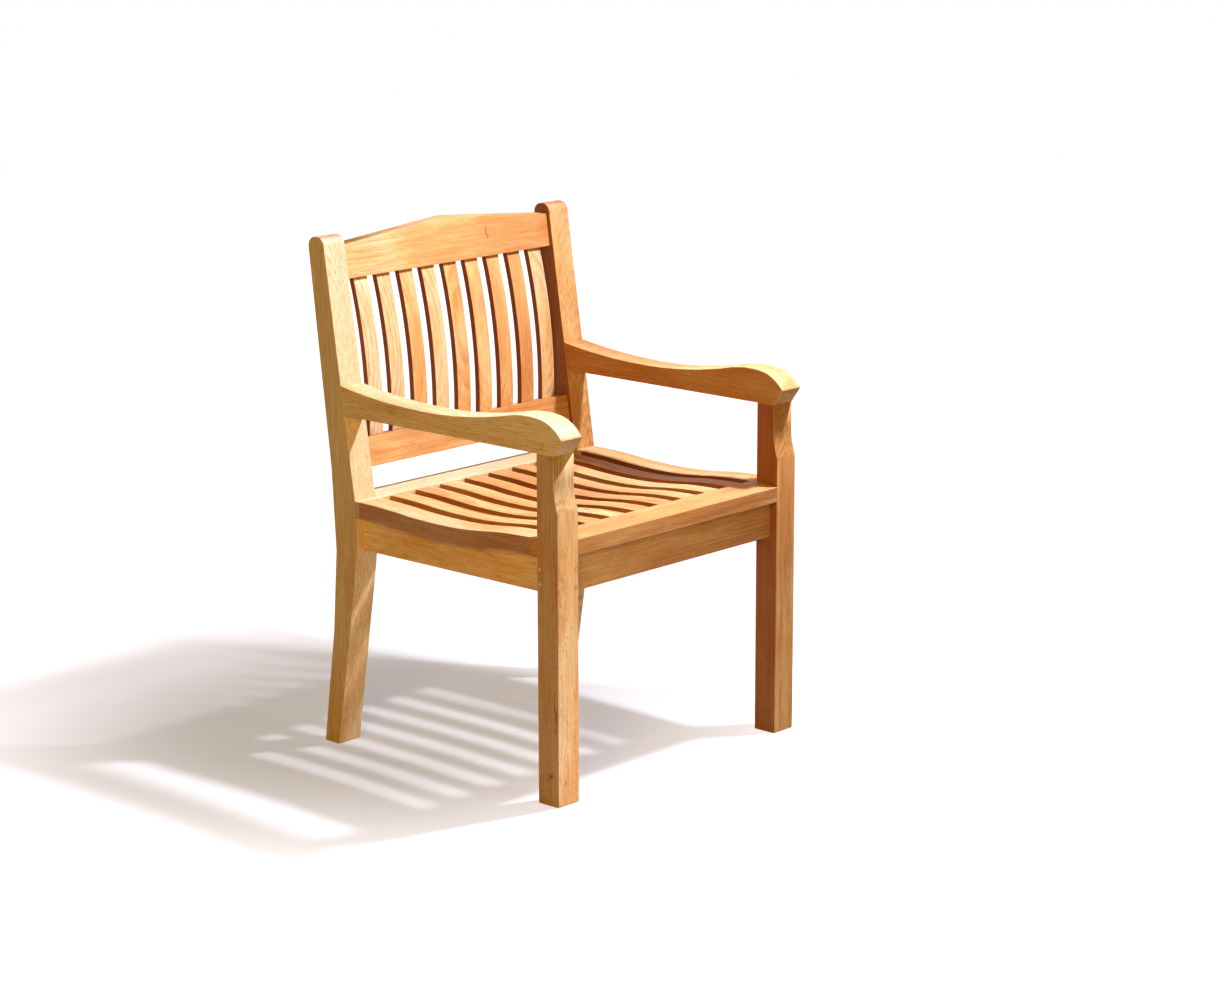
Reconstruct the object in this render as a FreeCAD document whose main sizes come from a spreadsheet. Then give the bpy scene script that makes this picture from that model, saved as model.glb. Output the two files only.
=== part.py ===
"""A teak garden armchair with a dished slatted seat and a bowed slatted back.

Lengths are in millimetres. The chair stands on z = 0 and faces -Y, +X is the
sitter's left, and the origin lies on the floor under the middle of the chair.
Heights are measured from the floor, and depths back from the front of the legs.
"""

import FreeCAD, Part
import math
import os

import Sketcher
from FreeCAD import Placement, Rotation, Vector

# Driving sizes: name, value, what it measures
SIZES = [
    ("overall_width", 600, "over the legs and arms"),
    ("overall_depth", 584, "from the noses of the arms to the top of the back"),
    ("fit", 0.2, "clearance all round a tenon, a slat end or a peg"),
    ("overrun", 8, "how far a cut runs past the wood"),
    ("edge_ease", 1.5, "chamfer along the arrises of legs, posts, arms and rails"),
    ("slat_ease", 1.5, "chamfer along the faces of slats and the bottoms of aprons"),
    ("foot_chamfer", 2.5, "chamfer round the bottom of each foot"),
    ("leg_width", 49, "front leg, rear post and arm, side to side"),
    ("leg_depth", 46, "front leg, front to back"),
    ("leg_cutback", 9, "how far the front of the leg steps back under the arm"),
    ("cove_bottom_height", 492, "crisp lower edge of the hollow in the leg"),
    ("cove_top_height", 541, "where the hollow runs out upright"),
    ("leg_tenon_length", 26, "tenon on the leg, up into the arm"),
    ("leg_tenon_thickness", 24, "tenon on the leg, side to side"),
    ("leg_tenon_shoulder", 5, "wood left before and behind the leg's tenon"),
    ("post_top_height", 884, "top of the rear post"),
    ("post_top_depth", 36, "rear post at its top, front to back"),
    ("post_top_round", 16.5, "rounding of the top of the post"),
    ("post_foot_depth", 36, "rear post at the floor, front to back"),
    ("post_foot_inset", 15, "back of the foot, forward of the top of the back"),
    ("rear_knee_height", 346.5, "bend of the post's rear edge"),
    ("rear_knee_inset", 62.5, "that bend, forward of the top of the back"),
    ("rear_knee_radius", 1140, "that bend's curve"),
    ("front_knee_height", 381.7, "bend of the post's front edge"),
    ("front_knee_radius", 420, "that bend's curve"),
    ("knee_depth", 48.4, "between the two bends, front to back"),
    ("arm_overhang", 10, "nose of the arm in front of the leg"),
    ("arm_underside_height", 585.5, "flat underside of the arm"),
    ("arm_nose_height", 612, "lower edge of the nose"),
    ("arm_nose_depth", 40, "where the nose runs into the crest"),
    ("arm_crest_depth", 66, "highest point of the arm"),
    ("arm_crest_height", 644, "height there"),
    ("arm_crest_radius", 200, "curve there"),
    ("arm_dip_depth", 298, "lowest point of the arm's top"),
    ("arm_dip_height", 618.8, "height there"),
    ("arm_rear_height", 635.6, "top of the arm at the post"),
    ("arm_tenon_length", 25, "tenon on the arm, back into the post"),
    ("arm_tenon_thickness", 24, "tenon on the arm, side to side"),
    ("arm_tenon_shoulder", 9, "wood left above and below the arm's tenon"),
    ("seat_thickness", 29, "rails of the seat"),
    ("seat_height", 445.5, "crown of the seat, at the back of its front rail"),
    ("seat_dip_depth", 265, "lowest point of the seat"),
    ("seat_dip", 12.7, "how far that point lies below the crown"),
    ("seat_rise", 7.6, "how far the rear rail of the seat lies above that point"),
    ("front_rail_depth", 60, "front rail of the seat, front to back"),
    ("front_rail_ease", 5, "rounding of the seat's front top edge"),
    ("side_rail_length", 400, "side rails of the seat, between the other two"),
    ("rear_rail_depth", 64, "rear rail of the seat, front to back"),
    ("ear_tenon_length", 6, "stub tenons of the side rails"),
    ("ear_tenon_thickness", 10, "their thickness"),
    ("ear_tenon_shoulder", 9, "wood left beside them"),
    ("seat_slats", 8, "number of seat slats"),
    ("seat_slat_width", 36, "seat slat, side to side"),
    ("seat_slat_thickness", 20, "seat slat, top to bottom"),
    ("seat_tenon_length", 15, "tenons of the seat slats"),
    ("seat_tenon_thickness", 10, "their thickness"),
    ("seat_tenon_shoulder", 4, "wood left beside them"),
    ("apron_depth", 51.8, "aprons, below the rails at the lowest point of the seat"),
    ("apron_thickness", 24, "aprons"),
    ("front_apron_inset", 16, "behind the front of the legs"),
    ("side_apron_inset", 18, "inside the outer face of the legs"),
    ("rear_apron_inset", 23, "behind the front of the seat's rear rail"),
    ("apron_tenon_length", 30, "tenons of the side aprons"),
    ("apron_tenon_thickness", 10, "tenons of all the aprons"),
    ("apron_tenon_shoulder", 9, "wood left above and below them"),
    ("lower_rail_gap", 49.1, "lower front edge of the back's lower rail, above the seat"),
    ("lower_rail_width", 51.5, "that rail, from edge to edge"),
    ("lower_rail_thickness", 28, "that rail, front to back"),
    ("lower_rail_inset", 8, "that rail, behind the front of the posts"),
    ("crest_bottom_height", 808.5, "lower front edge of the crest rail"),
    ("crest_end_height", 866.5, "top of the crest rail at the posts"),
    ("crest_peak_height", 888, "top of the crest rail in the middle"),
    ("crest_peak_round", 150, "easing of that peak"),
    ("crest_thickness", 24, "crest rail, front to back"),
    ("crest_inset", 6.5, "crest rail, behind the front of the posts"),
    ("back_tenon_length", 25, "tenons of the two rails of the back"),
    ("back_tenon_thickness", 10, "their thickness"),
    ("back_tenon_shoulder", 9, "wood left above and below them"),
    ("back_slats", 9, "number of back slats"),
    ("back_slat_width", 32, "back slat, side to side"),
    ("back_slat_thickness", 11, "back slat, front to back"),
    ("back_slat_bow", 10.5, "how far it bows forward between the rails"),
    ("back_slat_housing", 15, "how deep its ends go into the rails"),
    ("lower_setback", 11, "its face behind the face of the lower rail"),
    ("upper_setback", 6.5, "its face behind the face of the crest rail"),
    ("peg_diameter", 8, "pegs through the tenons"),
    ("peg_length", 32, "pegs through the tenons"),
    ("peg_edge", 6, "middle of a peg, past the shoulder of its joint"),
    ("upper_peg_rise", 43, "upper pegs above the bottom of the apron"),
    ("side_peg_rise", 18, "lower pegs of the side aprons, measured alike"),
    ("front_peg_rise", 12, "lower pegs of the front apron, measured alike"),
    ("leg_peg_edge", 11, "peg of the leg's tenon, forward of the leg's back"),
    ("leg_peg_rise", 12.5, "that peg above the arm's underside"),
    ("post_peg_rise", 17.5, "peg of the arm's tenon above the arm's underside"),
    ("key_length", 30, "loose tenons between the aprons and the seat"),
    ("key_thickness", 8, "their thickness"),
    ("key_height", 24, "half of it in the apron and half in the seat"),
    ("key_side", 150, "those of the front and rear aprons, off the middle"),
]

# Lesser tangent than this, and an edge lies across the X axis
ACROSS_SHARE = 0.5
SIDES = {"right": -1, "left": 1}


class Size:
    """A number and the rule that works it out from the cells of the sheet."""

    def __init__(self, number, rule):
        self.number = number
        self.rule = rule

    def __add__(self, other):
        other = as_size(other)
        return Size(self.number + other.number, f"({self.rule} + {other.rule})")

    def __sub__(self, other):
        other = as_size(other)
        return Size(self.number - other.number, f"({self.rule} - {other.rule})")

    def __mul__(self, other):
        other = as_size(other)
        return Size(self.number * other.number, f"({self.rule} * {other.rule})")

    def __truediv__(self, other):
        other = as_size(other)
        return Size(self.number / other.number, f"({self.rule} / {other.rule})")

    def __rmul__(self, other):
        return as_size(other) * self

    def __neg__(self):
        return Size(-self.number, f"(-1 * {self.rule})")

    def root(self):
        """The square root."""
        return Size(math.sqrt(self.number), f"sqrt({self.rule})")


def as_size(thing):
    """A Size as it is, and a plain number as a Size."""
    return thing if isinstance(thing, Size) else Size(float(thing), repr(thing))


class Sheet:
    """The document's spreadsheet; its attributes are the named Sizes."""

    def __init__(self, doc):
        cells = doc.addObject("Spreadsheet::Sheet", "Sizes")
        for row, (name, value, note) in enumerate(SIZES, start=1):
            cells.set(f"A{row}", str(value))
            cells.set(f"B{row}", note)
            cells.setAlias(f"A{row}", name)
            setattr(self, name, Size(float(value), f"Sizes.{name}"))
        doc.recompute()


class Corner:
    """A corner of an outline, and the edge that leads to it from the one before.

    A radius alone rounds the corner between two straight edges. A radius with a
    turn makes the edge itself an arc: turn 1 curves to the left, -1 to the right.
    """

    def __init__(self, across, up, radius=None, turn=0):
        self.across = as_size(across)
        self.up = as_size(up)
        self.radius = radius
        self.turn = turn

    def place(self):
        """The corner as a point of its plane."""
        return Vector(self.across.number, self.up.number, 0)

    def is_round(self):
        """Whether the corner is rounded."""
        return self.radius is not None and self.turn == 0


def bind(thing, **rules):
    """Bind properties of a feature to the sheet; two underscores stand for a dot."""
    for name, size in rules.items():
        thing.setExpression(name.replace("__", "."), as_size(size).rule)


def tangent_points(before, corner, after):
    """Where the rounding of a corner leaves its two straight edges."""
    back = (before.place() - corner.place()).normalize()
    ahead = (after.place() - corner.place()).normalize()
    reach = corner.radius.number / math.tan(back.getAngle(ahead) / 2)
    return corner.place() + back * reach, corner.place() + ahead * reach


def arc_between(start, end, radius, turn):
    """The shorter arc of a radius from one point to another, turning left or right."""
    chord = end - start
    left = Vector(-chord.y, chord.x, 0).normalize()
    height = math.sqrt(max(radius ** 2 - (chord.Length / 2) ** 2, 0))
    centre = (start + end) / 2 + left * (turn * height)
    first, last = (start, end) if turn > 0 else (end, start)
    angles = [math.atan2(p.y - centre.y, p.x - centre.x) for p in (first, last)]
    return Part.ArcOfCircle(Part.Circle(centre, Vector(0, 0, 1), radius), *angles)


def draw(body, name, plane, corners, offset=0):
    """Draw a closed outline on a plane of a body, each size bound to the sheet.

    The outline is moved along the plane's normal by the offset.
    """
    sketch = body.newObject("Sketcher::SketchObject", name)
    support = [f for f in body.Origin.OriginFeatures if f.Role == plane]
    sketch.AttachmentSupport = [(support[0], "")]
    sketch.MapMode = "FlatFace"
    bind(sketch, AttachmentOffset__Base__z=offset)

    def dimension(kind, size, *where):
        number = sketch.addConstraint(Sketcher.Constraint(kind, *where, size.number))
        sketch.setExpression(f"Constraints[{number}]", size.rule)

    count = len(corners)
    rounding = {}
    for i, corner in enumerate(corners):
        if corner.is_round():
            rounding[i] = tangent_points(corners[i - 1], corner, corners[(i + 1) % count])

    # Each link is one edge: its number, and which of its ends comes first
    links = []
    for i, corner in enumerate(corners):
        before = (i - 1) % count
        start = rounding[before][1] if before in rounding else corners[before].place()
        end = rounding[i][0] if i in rounding else corner.place()
        if corner.turn:
            edge = sketch.addGeometry(arc_between(start, end, corner.radius.number, corner.turn))
            links.append((edge, (1, 2) if corner.turn > 0 else (2, 1)))
            dimension("Radius", corner.radius, edge)
        else:
            links.append((sketch.addGeometry(Part.LineSegment(start, end)), (1, 2)))

    for i, corner in enumerate(corners):
        edge, ends = links[i]
        after, after_ends = links[(i + 1) % count]
        if i in rounding:
            mark = sketch.addGeometry(Part.Point(corner.place()), True)
            turn = 1 if (corner.place() - rounding[i][0]).cross(
                rounding[i][1] - corner.place()).z > 0 else -1
            arc = sketch.addGeometry(
                arc_between(*rounding[i], corner.radius.number, turn))
            first, last = (1, 2) if turn > 0 else (2, 1)
            sketch.addConstraint([
                Sketcher.Constraint("Tangent", edge, ends[1], arc, first),
                Sketcher.Constraint("Tangent", arc, last, after, after_ends[0]),
                Sketcher.Constraint("PointOnObject", mark, 1, edge),
                Sketcher.Constraint("PointOnObject", mark, 1, after)])
            dimension("Radius", corner.radius, arc)
            dimension("DistanceX", corner.across, -1, 1, mark, 1)
            dimension("DistanceY", corner.up, -1, 1, mark, 1)
        else:
            sketch.addConstraint(
                Sketcher.Constraint("Coincident", edge, ends[1], after, after_ends[0]))
            dimension("DistanceX", corner.across, -1, 1, edge, ends[1])
            dimension("DistanceY", corner.up, -1, 1, edge, ends[1])
    return sketch


def pad(body, name, corners, width, offset=0):
    """Pad an outline of the YZ plane to a width, equally to both sides."""
    feature = body.newObject("PartDesign::Pad", name)
    feature.Profile = draw(body, name + "_outline", "YZ_Plane", corners, offset)
    feature.SideType = "Symmetric"
    bind(feature, Length=width)
    return feature


def pocket(body, name, corners, width, offset=0, plane="YZ_Plane"):
    """Cut an outline through a body over a width, equally to both sides."""
    feature = body.newObject("PartDesign::Pocket", name)
    feature.Profile = draw(body, name + "_outline", plane, corners, offset)
    feature.SideType = "Symmetric"
    bind(feature, Length=width)
    return feature


def block(body, kind, name, low, high):
    """Add or cut a block between two corners, each a row of x, y and z."""
    feature = body.newObject(f"PartDesign::{kind}Box", name)
    reach = [as_size(b) - as_size(a) for a, b in zip(low, high)]
    bind(feature, Length=reach[0], Width=reach[1], Height=reach[2],
         Placement__Base__x=low[0], Placement__Base__y=low[1], Placement__Base__z=low[2])
    return feature


def tenon(body, name, low, high):
    """Leave a tenon on the end of a piece."""
    return block(body, "Additive", name, low, high)


def mortise(body, name, low, high, fit):
    """Cut a mortise that holds a tenon of these corners with a clearance."""
    return block(body, "Subtractive", name,
                 [as_size(a) - fit for a in low], [as_size(b) + fit for b in high])


def bore(body, name, start, along, radius, length):
    """Bore a round hole from a point along +X, +Y or +Z."""
    feature = body.newObject("PartDesign::SubtractiveCylinder", name)
    feature.Placement = Placement(Vector(), Rotation(Vector(0, 0, 1), along))
    bind(feature, Radius=radius, Height=length, Placement__Base__x=start[0],
         Placement__Base__y=start[1], Placement__Base__z=start[2])
    return feature


def repeat(body, feature, pitch, count):
    """Repeat a cut along the X axis, count times from its first place."""
    pattern = body.newObject("PartDesign::LinearPattern", feature.Name + "_row")
    pattern.Originals = [feature]
    axis = [f for f in body.Origin.OriginFeatures if f.Role == "X_Axis"][0]
    pattern.Direction = (axis, [""])
    bind(pattern, Length=pitch * (count - 1), Occurrences=count)
    body.Tip = pattern
    return pattern


def dress(body, kind, name, wanted):
    """Start a fillet or chamfer on some edges of a body's last feature."""
    base = body.Tip
    body.Document.recompute()
    names = [f"Edge{i}" for i, edge in enumerate(base.Shape.Edges, start=1) if wanted(edge)]
    feature = body.newObject(f"PartDesign::{kind}", name)
    feature.Base = (base, names)
    return feature


def fillet(body, name, radius, wanted):
    """Round the edges that a test picks."""
    bind(dress(body, "Fillet", name, wanted), Radius=radius)


def chamfer(body, name, size, wanted):
    """Take the arris off the edges that a test picks."""
    bind(dress(body, "Chamfer", name, wanted), Size=size)


def along_x(edge):
    """Whether an edge runs along X."""
    return abs(edge.tangentAt(edge.FirstParameter).x) > ACROSS_SHARE


def across_x(edge):
    """Whether an edge lies in a plane across the X axis."""
    return not along_x(edge)


def is_arc(edge):
    """Whether an edge is an arc of a circle."""
    return edge.Curve.TypeId == "Part::GeomCircle"


def level_radius(run, rise):
    """Radius of an arc that starts level and climbs by rise over a run."""
    return (run * run + rise * rise) / (2 * rise)


class Chair:
    """The chair's shared places, and one function for each kind of piece."""

    def __init__(self, doc):
        self.doc = doc
        self.size = Sheet(doc)
        s = self.size
        self.front = s.arm_overhang - s.overall_depth / 2
        self.leg_side = s.overall_width / 2 - s.leg_width / 2
        self.clear = s.overall_width - 2 * s.leg_width
        self.rear_rail_front = self.front + s.front_rail_depth + s.side_rail_length
        self.seat_low = s.seat_height - s.seat_dip
        self.seat_rear = self.seat_low + s.seat_rise
        self.apron_bottom = self.seat_low - s.seat_thickness - s.apron_depth
        self.place_post()

    def body(self, name, side=0):
        """Start a piece, moved sideways to its place."""
        body = self.doc.addObject("PartDesign::Body", name)
        body.Label = name
        bind(body, Placement__Base__x=side)
        return body

    def place_post(self):
        """Work out the corners of the rear post and the frame of its raked front."""
        s = self.size
        rear = s.overall_depth / 2
        knee_rear = rear - s.rear_knee_inset
        self.knee_front = knee_rear - s.knee_depth
        foot_rear = rear - s.post_foot_inset
        run = rear - s.post_top_depth - self.knee_front
        self.rake = run / (s.post_top_height - s.front_knee_height)
        self.rake_cos = as_size(1) / (self.rake * self.rake + 1).root()
        self.rake_sin = self.rake * self.rake_cos
        self.post_front = [
            Corner(foot_rear - s.post_foot_depth, 0),
            Corner(self.knee_front, s.front_knee_height, s.front_knee_radius)]
        # The rounding takes the top back to the overall depth
        slope = s.rear_knee_inset / (s.post_top_height - s.rear_knee_height)
        self.post_rear = [
            Corner(rear + s.post_top_round * slope, s.post_top_height, s.post_top_round),
            Corner(knee_rear, s.rear_knee_height, s.rear_knee_radius),
            Corner(foot_rear, 0)]
        self.post_top = [Corner(self.front_of_post(s.post_top_height), s.post_top_height,
                                s.post_top_round)]

    def front_of_post(self, height):
        """Where the raked front of the post stands at a height above its bend."""
        return self.knee_front + self.rake * (height - self.size.front_knee_height)

    def behind_post_front(self, gap=0):
        """The outline of all that lies behind the front of the post."""
        s = self.size
        rear = s.overall_depth / 2 + s.overrun
        top = s.post_top_height + s.overrun
        foot, knee = self.post_front
        return [Corner(foot.across - gap, 0),
                Corner(knee.across - gap, knee.up, knee.radius),
                Corner(self.front_of_post(top) - gap, top),
                Corner(rear, top), Corner(rear, 0)]

    def raked_box(self, low, high, front, back):
        """A box that leans like the posts.

        It reaches from low to high along the slope above the bend, and from front
        to back square to it, behind the front of the posts.
        """
        knee = self.size.front_knee_height

        def corner(up, deep):
            return Corner(self.knee_front + up * self.rake_sin + deep * self.rake_cos,
                          knee + up * self.rake_cos - deep * self.rake_sin)
        return [corner(low, front), corner(high, front), corner(high, back), corner(low, back)]

    def up_slope(self, height, deep):
        """How far up the slope a height is reached, behind the front of the posts."""
        rise = height - self.size.front_knee_height
        return (rise + deep * self.rake_sin) / self.rake_cos

    def seat_line(self):
        """The dished line of the seat from rail to rail, as rows for corners."""
        s = self.size
        start = self.front + s.front_rail_depth
        dip = self.front + s.seat_dip_depth
        end = self.rear_rail_front
        front_curve = level_radius((dip - start) / 2, s.seat_dip / 2)
        rear_curve = level_radius((end - dip) / 2, s.seat_rise / 2)
        return [(start, s.seat_height, None, 0),
                ((start + dip) / 2, self.seat_low + s.seat_dip / 2, front_curve, -1),
                (dip, self.seat_low, front_curve, 1),
                ((dip + end) / 2, self.seat_low + s.seat_rise / 2, rear_curve, 1),
                (end, self.seat_rear, rear_curve, -1)]

    def seat_underside(self, drop):
        """The dished line at a drop below the seat, from the rear to the front."""
        line = self.seat_line()
        corners = [Corner(line[-1][0], line[-1][1] - drop)]
        for (y, z, _, _), (_, _, radius, turn) in zip(line[-2::-1], line[:0:-1]):
            corners.append(Corner(y, z - drop, radius, -turn))
        return corners

    def seat_outline(self, drop):
        """The dished line of the seat and a line at a drop below it."""
        return [Corner(*row) for row in self.seat_line()] + self.seat_underside(drop)

    # Legs, posts and arms

    def rear_post(self, label, sign):
        """A rear post: foot, bend at the seat, raked and rounded top."""
        s = self.size
        body = self.body(f"rear_post_{label}", sign * self.leg_side)
        outline = self.post_front + self.post_top + self.post_rear
        pad(body, f"post_{label}", outline, s.leg_width)
        at_foot = s.foot_chamfer.number
        chamfer(body, f"foot_{label}", s.foot_chamfer,
                lambda edge: edge.BoundBox.ZMax < at_foot)
        chamfer(body, f"arris_{label}", s.edge_ease,
                lambda edge: across_x(edge) and edge.BoundBox.ZMax > 2 * at_foot)
        inner = -sign * s.leg_width / 2
        for name, low, high in self.post_joints(sign):
            mortise(body, f"{name}_mortise_{label}", low, high, s.fit)
        for name, low, high, front, back in self.back_joints():
            pocket(body, f"{name}_mortise_{label}",
                   self.raked_box(low - s.fit, high + s.fit, front - s.fit, back + s.fit),
                   2 * (s.back_tenon_length + s.fit), inner)
        self.bore_pegs(body, f"post_{label}", sign * self.leg_side,
                       [self.post_peg(sign)])
        return body

    def post_joints(self, sign):
        """The square tenons that the post holds, in the post's own place."""
        side = self.leg_side * sign
        rows = [self.side_apron_tenon("rear", sign), self.rear_apron_tenon(sign),
                self.arm_tenon(sign)]
        return [(name, [low[0] - side] + low[1:], [high[0] - side] + high[1:])
                for name, low, high in rows]

    def back_joints(self):
        """The raked tenons of the two rails of the back."""
        s = self.size
        rows = []
        for name, rail in (("lower_rail", self.lower_rail()), ("crest", self.crest())):
            low, high, front, back = rail
            middle = (front + back) / 2
            rows.append((name, low + s.back_tenon_shoulder, high - s.back_tenon_shoulder,
                         middle - s.back_tenon_thickness / 2,
                         middle + s.back_tenon_thickness / 2))
        return rows

    def front_leg(self, label, sign):
        """A front leg, hollowed back below the arm and tenoned up into it."""
        s = self.size
        body = self.body(f"front_leg_{label}", sign * self.leg_side)
        rear = self.front + s.leg_depth
        step = self.front + s.leg_cutback
        top = s.arm_underside_height
        outline = [Corner(self.front, 0), Corner(rear, 0),
                   Corner(rear, top), Corner(self.front, top)]
        pad(body, f"leg_{label}", outline, s.leg_width)
        at_foot = s.foot_chamfer.number
        chamfer(body, f"foot_{label}", s.foot_chamfer,
                lambda edge: edge.BoundBox.ZMax < at_foot)
        chamfer(body, f"arris_{label}", s.edge_ease,
                lambda edge: across_x(edge) and edge.BoundBox.ZLength > at_foot)
        curve = level_radius(s.cove_top_height - s.cove_bottom_height, s.leg_cutback)
        ahead = self.front - s.overrun
        cove = [Corner(ahead, s.cove_bottom_height),
                Corner(self.front, s.cove_bottom_height),
                Corner(step, s.cove_top_height, curve, 1),
                Corner(step, top + s.overrun), Corner(ahead, top + s.overrun)]
        pocket(body, f"cove_{label}", cove, s.leg_width + 2 * s.overrun)
        tenon(body, f"arm_tenon_{label}", *self.leg_tenon(0))
        side = self.leg_side * sign
        for name, low, high in (self.side_apron_tenon("front", sign),
                                self.front_apron_tenon(sign)):
            mortise(body, f"{name}_mortise_{label}",
                    [low[0] - side] + low[1:], [high[0] - side] + high[1:], s.fit)
        self.bore_pegs(body, f"leg_{label}", side,
                       self.apron_pegs(sign) + [self.leg_peg(sign)])
        return body

    def leg_tenon(self, side):
        """The tenon on top of the front leg, about a sideways place."""
        s = self.size
        half = s.leg_tenon_thickness / 2
        under = s.arm_underside_height
        return ([as_size(side) - half,
                 self.front + s.leg_cutback + s.leg_tenon_shoulder, under],
                [as_size(side) + half, self.front + s.leg_depth - s.leg_tenon_shoulder,
                 under + s.leg_tenon_length])

    def arm_outline(self):
        """The arm from the side: nose, crest, dip and rise to the post."""
        s = self.size
        crest = self.front + s.arm_crest_depth
        dip = self.front + s.arm_dip_depth
        nose = self.front + s.arm_nose_depth
        radius = s.arm_crest_radius
        drop = radius - (radius * radius
                         - (crest - nose) * (crest - nose)).root()
        nose_top = s.arm_crest_height - drop
        both = level_radius(dip - crest, s.arm_crest_height - s.arm_dip_height)
        turn_y = crest + (dip - crest) * radius / both
        turn_z = s.arm_crest_height - (s.arm_crest_height - s.arm_dip_height) * radius / both
        rear = self.front_of_post(s.arm_rear_height)
        inside = rear + s.arm_tenon_length
        rise = level_radius(rear - dip, s.arm_rear_height - s.arm_dip_height)
        climb = rise - (rise * rise - (inside - dip) * (inside - dip)).root()
        tip = self.front - s.arm_overhang
        run = nose - tip
        lift = nose_top - s.arm_nose_height
        lean = run * (crest - nose) + lift * (drop - radius)
        nose_radius = -((run * run + lift * lift) * radius) / (2 * lean)
        return [
            Corner(inside, s.arm_underside_height),
            Corner(inside, s.arm_dip_height + climb),
            Corner(dip, s.arm_dip_height, rise, -1),
            Corner(turn_y, turn_z, both - radius, -1),
            Corner(crest, s.arm_crest_height, radius, 1),
            Corner(nose, nose_top, radius, 1),
            Corner(tip, s.arm_nose_height, nose_radius, 1),
            Corner(self.front + s.leg_cutback, s.arm_underside_height)]

    def arm(self, label, sign):
        """An arm, tenoned back into the post and resting on the leg."""
        s = self.size
        body = self.body(f"arm_{label}", sign * self.leg_side)
        pad(body, f"arm_{label}_blank", self.arm_outline(), s.leg_width)
        back_of_leg = (self.front + s.leg_depth).number
        tip = s.arm_nose_height.number + s.edge_ease.number
        chamfer(body, f"arm_arris_{label}", s.edge_ease, lambda edge: across_x(edge)
                or (edge.BoundBox.YMax < back_of_leg and edge.BoundBox.ZMax < tip))
        pocket(body, f"shoulder_{label}", self.behind_post_front(),
               s.leg_width + 2 * s.overrun)
        name, low, high = self.arm_tenon(sign)
        side = self.leg_side * sign
        root = low[1] - s.arm_tenon_length
        tenon(body, f"{name}_{label}", [low[0] - side, root, low[2]],
              [high[0] - side, high[1], high[2]])
        mortise(body, f"leg_mortise_{label}", *self.leg_tenon(0), s.fit)
        self.bore_pegs(body, f"arm_{label}", side, [self.leg_peg(sign), self.post_peg(sign)])
        return body

    def arm_tenon(self, sign):
        """The tenon on the rear end of the arm."""
        s = self.size
        middle = self.leg_side * sign
        half = s.arm_tenon_thickness / 2
        low = s.arm_underside_height + s.arm_tenon_shoulder
        start = self.front_of_post(low)
        return ("arm_tenon", [middle - half, start, low],
                [middle + half, start + s.arm_tenon_length,
                 s.arm_rear_height - s.arm_tenon_shoulder])

    # Seat

    def slat_sides(self, count, width):
        """First place and pitch of slats that share the clear width evenly."""
        gap = (self.clear - count * width) / (count + 1)
        pitch = width + gap
        return -(pitch * (count - 1)) / 2, pitch

    def seat_tenon(self, end, side):
        """A tenon of a seat slat, about a sideways place."""
        s = self.size
        half = s.seat_slat_width / 2 - s.seat_tenon_shoulder
        if end == "front":
            middle = s.seat_height - s.seat_slat_thickness / 2
            start = self.front + s.front_rail_depth - s.seat_tenon_length
        else:
            middle = self.seat_rear - s.seat_slat_thickness / 2
            start = self.rear_rail_front
        return ([side - half, start, middle - s.seat_tenon_thickness / 2],
                [side + half, start + s.seat_tenon_length,
                 middle + s.seat_tenon_thickness / 2])

    def seat_slat(self, number):
        """One slat of the seat, dished and tenoned into both rails."""
        s = self.size
        first, pitch = self.slat_sides(s.seat_slats, s.seat_slat_width)
        body = self.body(f"seat_slat_{number + 1}", first + pitch * number)
        pad(body, f"slat_{number + 1}", self.seat_outline(s.seat_slat_thickness),
            s.seat_slat_width)
        long = s.seat_slat_thickness.number
        chamfer(body, f"slat_edge_{number + 1}", s.slat_ease,
                lambda edge: across_x(edge) and edge.Length > 2 * long
                and edge.BoundBox.ZMax > self.seat_low.number)
        for end in ("front", "rear"):
            tenon(body, f"slat_{end}_tenon_{number + 1}", *self.seat_tenon(end, as_size(0)))
        return body

    def ear_tenon(self, end, side):
        """A stub tenon of a side rail of the seat, about a sideways place."""
        s = self.size
        half = s.leg_width / 2 - s.ear_tenon_shoulder
        if end == "front":
            middle = s.seat_height - s.seat_thickness / 2
            start = self.front + s.front_rail_depth - s.ear_tenon_length
        else:
            middle = self.seat_rear - s.seat_thickness / 2
            start = self.rear_rail_front
        return ([side - half, start, middle - s.ear_tenon_thickness / 2],
                [side + half, start + s.ear_tenon_length,
                 middle + s.ear_tenon_thickness / 2])

    def side_seat_rail(self, label, sign):
        """A side rail of the seat, above the side apron."""
        s = self.size
        side = sign * self.leg_side
        body = self.body(f"side_seat_rail_{label}", side)
        pad(body, f"rail_{label}", self.seat_outline(s.seat_thickness), s.leg_width)
        long = s.seat_thickness.number
        chamfer(body, f"rail_edge_{label}", s.edge_ease,
                lambda edge: across_x(edge) and edge.Length > 2 * long
                and edge.BoundBox.ZMax > self.seat_low.number)
        for end in ("front", "rear"):
            tenon(body, f"ear_{end}_tenon_{label}", *self.ear_tenon(end, as_size(0)))
        self.cut_key_mortises(body, f"rail_{label}", side, self.side_keys(sign))
        return body

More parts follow.
